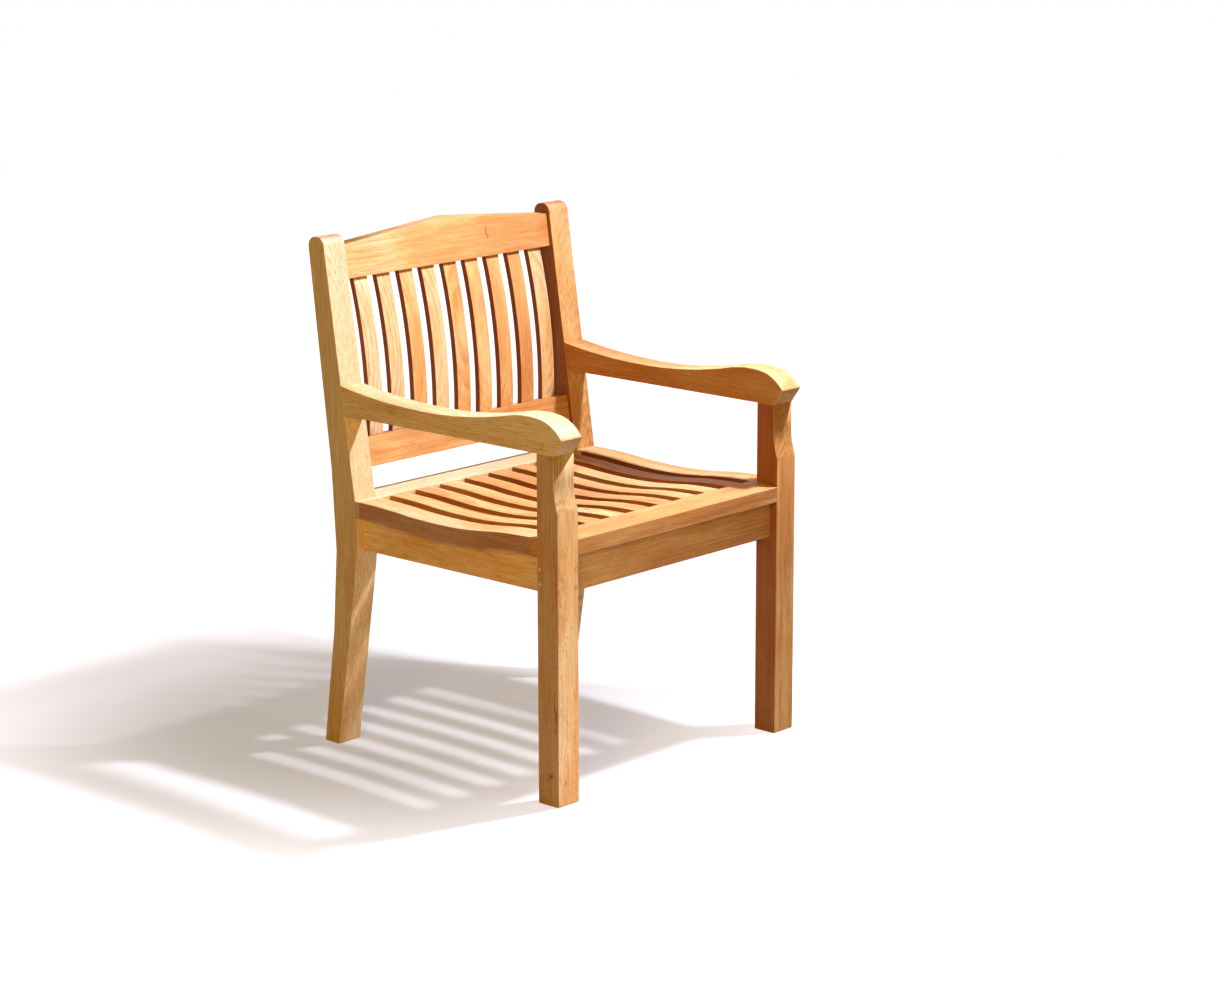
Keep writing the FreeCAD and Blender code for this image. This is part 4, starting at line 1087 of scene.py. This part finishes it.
class Graph:
    """Builds nodes in a tree and links them."""

    def __init__(self, tree: bpy.types.NodeTree) -> None:
        """Start on a tree."""
        self.tree = tree

    def put(self, socket: bpy.types.NodeSocket, value: object) -> None:
        """Link a socket to an input, or set its own value.

        Args:
            socket: an input socket.
            value: an output socket, a number, a vector or a colour.
        """
        if isinstance(value, bpy.types.NodeSocket):
            self.tree.links.new(value, socket)
        elif socket.type == "RGBA":
            socket.default_value = (*value, 1.0)
        else:
            socket.default_value = value

    def node(self, kind: str, inputs: dict, **settings: object) -> bpy.types.Node:
        """Add a node.

        Args:
            kind: its type.
            inputs: values by the names or places of its inputs.
            settings: its own settings.

        Returns:
            The node.
        """
        made = self.tree.nodes.new(kind)
        for key, value in settings.items():
            setattr(made, key, value)
        for key, value in inputs.items():
            self.put(made.inputs[key], value)
        return made

    def math(self, operation: str, *values: object) -> bpy.types.NodeSocket:
        """A sum on one to three values."""
        return self.node("ShaderNodeMath", dict(enumerate(values)),
                         operation=operation).outputs[0]

    def vector(self, operation: str, *values: object) -> bpy.types.NodeSocket:
        """A vector sum."""
        made = self.node("ShaderNodeVectorMath", dict(enumerate(values)), operation=operation)
        return made.outputs["Value" if operation == "LENGTH" else "Vector"]

    def mix(self, factor: object, first: object, second: object) -> bpy.types.NodeSocket:
        """Two colours mixed by a factor."""
        return self.node("ShaderNodeMix", {0: factor, 6: first, 7: second},
                         data_type="RGBA").outputs[2]

    def spread(self, value: object, low: float, high: float, floor: float = 0.0,
               top: float = 1.0, smooth: bool = True) -> bpy.types.NodeSocket:
        """Map a value's range to another and hold it there.

        Args:
            value: the value.
            low: where its range begins.
            high: where it ends.
            floor: what low becomes.
            top: what high becomes.
            smooth: whether the way between them is an S and not straight.

        Returns:
            The mapped value.
        """
        kind = "SMOOTHSTEP" if smooth else "LINEAR"
        return self.node("ShaderNodeMapRange", {0: value, 1: low, 2: high, 3: floor, 4: top},
                         interpolation_type=kind).outputs[0]

    def straight(self, value: object, low: float, high: float,
                 top: float = 1.0) -> bpy.types.NodeSocket:
        """Map a value's range straight to 0 and a top, and hold it there."""
        return self.spread(value, low, high, 0.0, top, smooth=False)

    def noise(self, vector: object, scale: Place, detail: float = 2.0,
              roughness: float = 0.5) -> bpy.types.NodeSocket:
        """Noise stretched to a scale on each axis.

        Args:
            vector: the place that it reads.
            scale: its turns for each metre.
            detail: how many finer layers it has.
            roughness: how strong each one is.

        Returns:
            The noise, about 0.5.
        """
        stretched = self.vector("MULTIPLY", vector, scale)
        return self.node("ShaderNodeTexNoise", {"Vector": stretched, "Scale": 1.0,
                                                "Detail": detail, "Roughness": roughness},
                         noise_dimensions="3D").outputs[0]

    def sum_up(self, weighed: Iterable[tuple[object, float]]) -> object:
        """The sum of values, each times its weight.

        Args:
            weighed: pairs of a value and its weight.

        Returns:
            The sum.
        """
        total: object = 0.0
        for value, weight in weighed:
            total = self.math("MULTIPLY_ADD", value, weight, total)
        return total

    def attribute(self, name: str, output: str = "Fac") -> bpy.types.NodeSocket:
        """A piece's own attribute."""
        return self.node("ShaderNodeAttribute", {}, attribute_name=name).outputs[output]

    def place(self) -> bpy.types.NodeSocket:
        """The place on the object."""
        return self.node("ShaderNodeTexCoord", {}).outputs["Object"]

    def finish(self, shader: str, inputs: dict, end: str = "ShaderNodeOutputMaterial") -> None:
        """Put a shader with its inputs on the tree's end."""
        made = self.node(shader, inputs)
        self.node(end, {"Surface": made.outputs[0]})


def blank(holder: bpy.types.Material | bpy.types.World) -> Graph:
    """Give a material or world an empty tree, and start a graph on it."""
    holder.use_nodes = True
    holder.node_tree.nodes.clear()
    return Graph(holder.node_tree)


def group(name: str, inputs: dict[str, str],
          outputs: Iterable[str]) -> tuple[bpy.types.NodeTree, Graph, bpy.types.Node,
                                           bpy.types.Node]:
    """Start a node group.

    Args:
        name: its name.
        inputs: names and socket kinds that go in.
        outputs: names of the values that come out.

    Returns:
        The group, a graph on it, and its input and output nodes.
    """
    tree = bpy.data.node_groups.new(name, "ShaderNodeTree")
    for way, sockets in (("INPUT", inputs), ("OUTPUT", dict.fromkeys(outputs, "Float"))):
        for title, kind in sockets.items():
            tree.interface.new_socket(title, in_out=way, socket_type=f"NodeSocket{kind}")
    graph = Graph(tree)
    return tree, graph, graph.node("NodeGroupInput", {}), graph.node("NodeGroupOutput", {})


@dataclass(frozen=True)
class Speckle:
    """Noise as a mask: its low becomes the floor, and its high becomes 1.

    The scale is in turns for each metre, along the grain first where it follows it.
    """

    scale: Place
    low: float
    high: float
    detail: float = 2.0
    roughness: float = 0.5
    floor: float = 0.0

    def mask(self, graph: Graph, vector: object, lift: object = None) -> bpy.types.NodeSocket:
        """Make the mask.

        Args:
            graph: the graph that it stands in.
            vector: the place that the noise reads.
            lift: what is added to the noise.

        Returns:
            The mask.
        """
        noise = graph.noise(vector, self.scale, self.detail, self.roughness)
        if lift is not None:
            noise = graph.math("ADD", noise, lift)
        return graph.spread(noise, self.low, self.high, self.floor)


@dataclass(frozen=True)
class Figure:
    """The figure of teak cut into boards.

    The rings are the distance from the middle of the tree, with a slow wander and a
    fine ripple along the grain, over the width of a year: each year darkens towards
    its end. Streaks, patches, fibres, pores and flecks are noise drawn out along
    the grain, and pores crowd at the end of a year.
    """

    year: float = 0.0036
    wander: float = 0.014
    wander_scale: Place = (1.2, 8.0, 8.0)
    wander_detail: float = 3.0
    ripple: float = 0.0012
    ripple_scale: Place = (5.0, 40.0, 40.0)
    rise: tuple[float, float] = (0.25, 0.88)
    fall: tuple[float, float] = (0.90, 1.0)
    shown: Speckle = Speckle((1.6, 14.0, 14.0), 0.42, 0.62, 1.0, floor=0.25)
    streaks: Speckle = Speckle((2.2, 42.0, 42.0), 0.38, 0.62, 3.0, 0.6)
    patches: Speckle = Speckle((7.0, 20.0, 20.0), 0.34, 0.66, 3.0, 0.55, -1.0)
    fibres: Speckle = Speckle((13.0, 430.0, 430.0), 0.36, 0.64, 3.0, 0.65)
    pores: Speckle = Speckle((45.0, 900.0, 900.0), 0.60, 0.72, 1.0)
    crowding: float = 0.08
    flecks: Speckle = Speckle((70.0, 420.0, 420.0), 0.68, 0.76, 1.0)

    def build(self) -> bpy.types.NodeTree:
        """Build the node group.

        Returns:
            The group: a place in the wood and a shift of its years go in, masks come out.
        """
        tree, graph, given, made = group(
            "teak_figure", {"Wood": "Vector", "Shift": "Float"},
            ("Years", "Streaks", "Fibres", "Pores", "Flecks", "Patches"))
        wood = given.outputs["Wood"]
        wander = graph.noise(wood, self.wander_scale, self.wander_detail)
        ripple = graph.noise(wood, self.ripple_scale)
        distance = graph.vector("LENGTH", graph.vector("MULTIPLY", wood, (0.0, 1.0, 1.0)))
        moved = graph.math("MULTIPLY_ADD", wander, self.wander, distance)
        moved = graph.math("MULTIPLY_ADD", ripple, self.ripple, moved)
        moved = graph.math("ADD", moved, given.outputs["Shift"])
        year = graph.math("FRACT", graph.math("DIVIDE", moved, self.year))
        ring = graph.math("MULTIPLY", graph.spread(year, *self.rise),
                          graph.spread(year, *self.fall, 1.0, 0.0))
        crowd = graph.math("MULTIPLY", year, self.crowding)
        masks = {"Years": graph.math("MULTIPLY", self.shown.mask(graph, wood), ring),
                 "Streaks": self.streaks.mask(graph, wood),
                 "Patches": self.patches.mask(graph, wood),
                 "Fibres": self.fibres.mask(graph, wood),
                 "Pores": self.pores.mask(graph, wood, crowd),
                 "Flecks": self.flecks.mask(graph, wood)}
        for title, mask in masks.items():
            graph.put(made.inputs[title], mask)
        return tree


@dataclass(frozen=True)
class Burl:
    """A knot's figure: the years swell round it, and its heart is dark.

    With d the distance from its middle over its size, bent a little by noise, the
    years shift by exp(-(d / 2)^2) times the swell, and its heart is exp(-(2 d)^2).
    """

    swell: float = 0.022
    swell_fall: float = -0.25
    heart_fall: float = -4.0
    bend: float = 0.022
    bend_scale: float = 55.0

    def build(self) -> bpy.types.NodeTree:
        """Build the node group.

        Returns:
            The group: a place, the knot's middle and one over its size go in.
        """
        tree, graph, given, made = group(
            "teak_knot", {"Place": "Vector", "Middle": "Vector", "Stretch": "Vector"},
            ("Shift", "Heart"))
        noise = graph.node("ShaderNodeTexNoise", {
            "Vector": given.outputs["Place"], "Scale": self.bend_scale, "Detail": 2.0},
            noise_dimensions="3D").outputs[1]
        bend = graph.vector("MULTIPLY_ADD", noise, (self.bend,) * 3, (-self.bend / 2,) * 3)
        away = graph.vector("SUBTRACT", given.outputs["Place"], given.outputs["Middle"])
        away = graph.vector("ADD", away, bend)
        reach = graph.vector("LENGTH", graph.vector("MULTIPLY", away, given.outputs["Stretch"]))
        square = graph.math("MULTIPLY", reach, reach)
        swell = graph.math("EXPONENT", graph.math("MULTIPLY", square, self.swell_fall))
        heart = graph.math("EXPONENT", graph.math("MULTIPLY", square, self.heart_fall))
        graph.put(made.inputs["Shift"], graph.math("MULTIPLY", swell, self.swell))
        graph.put(made.inputs["Heart"], heart)
        return tree


@dataclass(frozen=True)
class Knot:
    """A knot in a board: where it is, and its size along each axis."""

    middle: Place
    size: Place


@dataclass(frozen=True)
class Teak:
    """Sanded teak with a light oil: warm, pale wood darkened by its figure and by painted shade.
    """

    figure: bpy.types.NodeTree
    knot: bpy.types.NodeTree
    pale: Colour = linear(238, 191, 128)
    honey: Colour = linear(224, 159, 90)
    cream: Colour = linear(242, 215, 172)
    russet: Colour = linear(204, 132, 77)
    brown: Colour = linear(150, 80, 32)
    umber: Colour = linear(118, 44, 16)
    patch_tone: float = 0.45
    tone_warmth: float = 0.34
    streak_warmth: float = 0.75
    warmth_range: tuple[float, float] = (-0.1, 1.0)
    russet_tone: float = 2.0
    cream_tone: float = -1.4
    cream_share: float = 0.85
    years_dark: float = 0.28
    fibres_dark: float = 0.26
    pores_dark: float = 0.24
    flecks_dark: float = 0.36
    heart_dark: float = 0.75
    end_dark: float = 0.35
    # Below 0, so arrises come out lighter: partly wear, partly a painted highlight
    arris_wear_and_highlight: float = -0.10
    joint_dark: float = 0.70
    end_range: tuple[float, float] = (0.75, 0.95)
    joint_range: tuple[float, float] = (0.3, 0.7)
    # How strongly painted shade darkens the faces that look aside
    side_shade_weight: float = 0.80
    roughness: float = 0.47
    fibre_rough: float = 0.14
    end_rough: float = 0.15
    pore_relief: float = -0.6
    fibre_relief: float = -0.4
    year_relief: float = 0.25
    relief: float = 0.30
    relief_depth: float = 0.0003
    gleam: float = 0.2
    knots: tuple[Knot, ...] = (
        Knot((0.094, 0.262, 0.850), (0.0045, 0.060, 0.024)),
        Knot((0.275, -0.282, 0.567), (0.0030, 0.040, 0.010)),
        Knot((-0.300, -0.276, 0.165), (0.040, 0.0036, 0.080)),
        Knot((-0.300, -0.262, 0.050), (0.040, 0.0100, 0.012)),
        Knot((-0.285, -0.282, 0.038), (0.0040, 0.040, 0.012)))

    def sum_knots(self, graph: Graph) -> tuple[object, object]:
        """Sum up the knots.

        Args:
            graph: the material's graph.

        Returns:
            How far they move the years, and how dark they are.
        """
        place = graph.place()
        shift: object = 0.0
        heart: object = 0.0
        for knot in self.knots:
            used = graph.node("ShaderNodeGroup", {}, node_tree=self.knot)
            for title, value in (("Place", place), ("Middle", knot.middle),
                                 ("Stretch", tuple(1 / size for size in knot.size))):
                graph.put(used.inputs[title], value)
            shift = graph.math("ADD", used.outputs["Shift"], shift)
            heart = graph.math("ADD", used.outputs["Heart"], heart)
        return shift, heart

    def build(self) -> bpy.types.Material:
        """Build the material.

        Returns:
            Wood that reads each board's grain, tone, arris, end and painted side_shade attributes.
        """
        material = bpy.data.materials.new("teak")
        graph = blank(material)
        shift, heart = self.sum_knots(graph)
        used = graph.node("ShaderNodeGroup", {}, node_tree=self.figure)
        graph.put(used.inputs["Wood"], graph.attribute("grain", "Vector"))
        graph.put(used.inputs["Shift"], shift)
        years, streaks, fibres, pores, flecks, patches = used.outputs
        tone = graph.math("MULTIPLY_ADD", patches, self.patch_tone, graph.attribute("tone"))
        arris, facing = graph.attribute("arris"), graph.attribute("end")
        end = graph.spread(facing, *self.end_range)
        joint = graph.math("MULTIPLY", graph.spread(facing, *self.joint_range), arris)

        warmth = graph.math("MULTIPLY_ADD", tone, self.tone_warmth,
                            graph.math("MULTIPLY", streaks, self.streak_warmth))
        colour = graph.mix(graph.straight(warmth, *self.warmth_range), self.pale, self.honey)
        colour = graph.mix(graph.straight(tone, 0.0, self.russet_tone), colour, self.russet)
        colour = graph.mix(graph.straight(tone, 0.0, self.cream_tone, self.cream_share), colour,
                           self.cream)
        # This sum also lightens the arrises, partly wear and partly a painted highlight
        dark = graph.sum_up((
            (years, self.years_dark), (fibres, self.fibres_dark), (pores, self.pores_dark),
            (flecks, self.flecks_dark), (heart, self.heart_dark), (end, self.end_dark),
            (arris, self.arris_wear_and_highlight), (joint, self.joint_dark)))
        colour = graph.mix(graph.straight(dark, 0.0, 1.0), colour, self.brown)
        # Painted shade: faces that look aside are mixed towards umber
        side_shade = graph.math("MULTIPLY", graph.attribute("side_shade"), self.side_shade_weight)
        colour = graph.mix(side_shade, colour, self.umber)

        rough = graph.math("MULTIPLY_ADD", fibres, self.fibre_rough, self.roughness)
        rough = graph.math("MULTIPLY_ADD", end, self.end_rough, rough)
        height = graph.sum_up(((fibres, self.fibre_relief), (pores, self.pore_relief),
                               (years, self.year_relief)))
        bump = graph.node("ShaderNodeBump", {"Strength": self.relief,
                                             "Distance": self.relief_depth, "Height": height})
        graph.finish("ShaderNodeBsdfPrincipled", {
            "Base Color": colour, "Roughness": rough, "Normal": bump.outputs[0],
            "Specular IOR Level": self.gleam})
        return material


@dataclass(frozen=True)
class PegTeak:
    """End grain of the pegs: short-grained, with a dark line round it."""

    face: Colour = linear(240, 190, 128)
    shade: Colour = linear(190, 128, 70)
    rim: Colour = linear(96, 56, 28)
    specks: Speckle = Speckle((900.0, 900.0, 900.0), 0.4, 0.65)
    waves: Speckle = Speckle((180.0, 180.0, 420.0), 0.35, 0.65)
    speck_shade: float = 0.5
    wave_shade: float = 0.35
    rim_range: tuple[float, float] = (0.1, 0.9)
    roughness: float = 0.5
    speck_rough: float = 0.2
    ior: float = 1.45

    def build(self) -> bpy.types.Material:
        """Build the material.

        Returns:
            Wood that reads the heads' arris attribute.
        """
        material = bpy.data.materials.new("peg_teak")
        graph = blank(material)
        place = graph.place()
        specks, waves = self.specks.mask(graph, place), self.waves.mask(graph, place)
        shade = graph.sum_up(((waves, self.wave_shade), (specks, self.speck_shade)))
        colour = graph.mix(shade, self.face, self.shade)
        arris = graph.spread(graph.attribute("arris"), *self.rim_range)
        graph.finish("ShaderNodeBsdfPrincipled", {
            "Base Color": graph.mix(arris, colour, self.rim), "IOR": self.ior,
            "Roughness": graph.math("MULTIPLY_ADD", specks, self.speck_rough, self.roughness)})
        return material


@dataclass(frozen=True)
class KeyTeak:
    """Wood of the keys inside the seat's joints, left rough from the saw."""

    light: Colour = linear(214, 158, 98)
    dark: Colour = linear(150, 98, 54)
    bands: Speckle = Speckle((120.0, 14.0, 420.0), 0.35, 0.65, 3.0)
    speck_scale: Place = (500.0, 70.0, 900.0)
    roughness: float = 0.5
    speck_rough: float = 0.3
    ior: float = 1.45

    def build(self) -> bpy.types.Material:
        """Build the material.

        Returns:
            Wood that reads the place on the object.
        """
        material = bpy.data.materials.new("key_teak")
        graph = blank(material)
        place = graph.place()
        specks = graph.noise(place, self.speck_scale)
        graph.finish("ShaderNodeBsdfPrincipled", {
            "Base Color": graph.mix(self.bands.mask(graph, place), self.light, self.dark),
            "Roughness": graph.math("MULTIPLY_ADD", specks, self.speck_rough, self.roughness),
            "IOR": self.ior})
        return material


# Studio


def set_axes(item: bpy.types.Object, place: Place, right: np.ndarray, up: np.ndarray,
             back: np.ndarray) -> None:
    """Place an object with its own axes."""
    turn = np.eye(4)
    turn[:3, 0], turn[:3, 1], turn[:3, 2], turn[:3, 3] = right, up, back, place
    item.matrix_world = Matrix(turn.tolist())


@dataclass(frozen=True)
class Lamp:
    """A soft round lamp that looks at a target; power in watts, beam in degrees."""

    name: str
    place: Place
    target: Place
    size: float
    power: float
    colour: Colour
    beam: float = 180.0

    def light(self) -> bpy.types.Light:
        """The lamp's light.

        Returns:
            A disk.
        """
        light = bpy.data.lights.new(self.name, "AREA")
        light.shape = "DISK"
        light.size = self.size
        light.spread = math.radians(self.beam)
        return light

    def build(self) -> None:
        """Hang the lamp, its -Z turned to the target."""
        light = self.light()
        light.energy = self.power
        light.color = self.colour
        lamp = bpy.data.objects.new(self.name, light)
        back = np.array(self.place) - np.array(self.target)
        back /= np.linalg.norm(back)
        right = np.cross((0.0, 0.0, 1.0), back)
        right /= np.linalg.norm(right)
        set_axes(lamp, self.place, right, np.cross(back, right), back)
        bpy.context.scene.collection.objects.link(lamp)


class Spot(Lamp):
    """A small lamp whose cone fades towards its rim, for a crisp shadow."""

    def light(self) -> bpy.types.Light:
        """The lamp's light.

        Returns:
            A cone.
        """
        light = bpy.data.lights.new(self.name, "SPOT")
        light.shadow_soft_size = self.size / 2
        light.spot_size = math.radians(self.beam)
        light.spot_blend = 1.0
        return light


@dataclass(frozen=True)
class Stage:
    """The floor, the white round it and the lamps.

    The floor glows for the camera, a little within the first of the fade's reaches
    and white from the second on, and likewise across the edge, which is a line
    over the floor: x plus the edge's slope times y.
    """

    reach: float = 14.0
    floor: Colour = (0.52, 0.51, 0.50)
    glow_tint: Colour = (0.98, 0.945, 1.0)
    glow: float = 0.345
    far_glow: float = 1.06
    shade_middle: Place = (-0.15, 0.30, 0.0)
    fade: tuple[float, float] = (0.25, 1.0)
    edge_slope: float = 0.25
    edge: tuple[float, float] = (0.25, 0.42)
    ambient: Colour = (0.080, 0.060, 0.032)
    backdrop: Colour = (1.0, 1.0, 1.0)
    lamps: tuple[Lamp, ...] = (
        Spot("key", (0.70, -0.57, 1.945), (-1.1, 0.0, 0.0), size=0.14, power=262.0,
             colour=(0.94, 0.97, 1.16), beam=86.0),
        Lamp("front", (-0.10, -1.05, 0.12), (-0.16, -0.28, 0.0), size=0.4, power=0.5,
             colour=(0.94, 0.97, 1.16), beam=60.0),
        Lamp("fill", (-5.3, -3.6, 2.9), (0.0, 0.0, 0.45), size=2.5, power=210.0,
             colour=(1.0, 0.69, 0.07)),
        Lamp("back", (2.6, 5.2, 2.4), (0.0, 0.0, 0.45), size=2.5, power=60.0,
             colour=(1.0, 0.93, 0.84)))

    def shown(self, graph: Graph) -> bpy.types.NodeSocket:
        """1 for rays that show the backdrop: from the camera, a mirror or glass."""
        path = graph.node("ShaderNodeLightPath", {}).outputs
        first = graph.math("MAXIMUM", path["Is Camera Ray"], path["Is Glossy Ray"])
        return graph.math("MAXIMUM", first, path["Is Transmission Ray"])

    def build_floor(self) -> None:
        """Lay a pale floor that is white where it is lit and keeps the shadow."""
        half = self.reach / 2
        mesh = bpy.data.meshes.new("floor")
        mesh.from_pydata([(-half, -half, 0), (half, -half, 0), (half, half, 0),
                          (-half, half, 0)], [], [(0, 1, 2, 3)])
        floor = bpy.data.objects.new("floor", mesh)
        bpy.context.scene.collection.objects.link(floor)
        material = bpy.data.materials.new("floor")
        graph = blank(material)
        matte = graph.node("ShaderNodeBsdfDiffuse", {"Color": self.floor})
        place = graph.place()
        away = graph.vector("LENGTH", graph.vector("SUBTRACT", place, self.shade_middle))
        part = graph.node("ShaderNodeSeparateXYZ", {0: place}).outputs
        beyond = graph.math("MULTIPLY_ADD", part[1], self.edge_slope, part[0])
        level = graph.math("MAXIMUM", graph.spread(away, *self.fade, self.glow, self.far_glow),
                           graph.spread(beyond, *self.edge, self.glow, self.far_glow))
        glow = graph.node("ShaderNodeEmission", {
            "Color": self.glow_tint,
            "Strength": graph.math("MULTIPLY", self.shown(graph), level)})
        graph.finish("ShaderNodeAddShader", {0: matte.outputs[0], 1: glow.outputs[0]})
        mesh.materials.append(material)

    def build_world(self) -> None:
        """White behind, and a soft light from all round."""
        world = bpy.data.worlds.new("world")
        bpy.context.scene.world = world
        graph = blank(world)
        colour = graph.mix(self.shown(graph), self.ambient, self.backdrop)
        graph.finish("ShaderNodeBackground", {"Color": colour}, "ShaderNodeOutputWorld")

    def build(self) -> None:
        """Build the studio: a small lamp throws the shadow, and soft ones fill it."""
        self.build_floor()
        self.build_world()
        for lamp in self.lamps:
            lamp.build()


@dataclass(frozen=True)
class Camera:
    """The photograph's camera: its turns in degrees, its lens and sensor in millimetres."""

    place: Place = (-3.9201, -3.6985, 1.6812)
    bearing: float = -47.633
    pitch: float = 13.171
    roll: float = -0.114
    lens: float = 94.64
    sensor: float = 36.0

    def build(self) -> None:
        """Set up the camera."""
        turn, lift, roll = (math.radians(a) for a in (self.bearing, self.pitch, self.roll))
        right = np.array([math.cos(turn), math.sin(turn), 0.0])
        back = np.array([math.sin(turn) * math.cos(lift), -math.cos(turn) * math.cos(lift),
                         math.sin(lift)])
        rolled = right * math.cos(roll) + np.cross(back, right) * math.sin(roll)
        data = bpy.data.cameras.new("camera")
        data.lens = self.lens
        data.sensor_width = self.sensor
        data.sensor_fit = "HORIZONTAL"
        camera = bpy.data.objects.new("camera", data)
        bpy.context.scene.collection.objects.link(camera)
        set_axes(camera, self.place, rolled, np.cross(back, rolled), back)
        bpy.context.scene.camera = camera
        bpy.context.scene.view_settings.view_transform = "Standard"


def main() -> None:
    """Build the chair, its finishes and the studio."""
    logging.basicConfig(level=logging.INFO, format="%(name)s: %(message)s")
    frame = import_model()
    shop = Workshop({Slot.TEAK: Teak(Figure().build(), Burl().build()).build(),
                     Slot.PEG: PegTeak().build()})
    body = Body()
    posts = Posts(body)
    for part in (posts, FrontLegs(body), Arms(body, posts), Seat(body, posts),
                 Aprons(body, posts), Back(body, posts), Pegs(body)):
        part.build(shop)
    keys = frame["nodes"]["seat_keys"]
    keys.data.materials.clear()
    keys.data.materials.append(KeyTeak().build())
    Stage().build()
    Camera().build()
    log.info("%d pieces", shop.count)


if __name__ == "__main__":
    main()
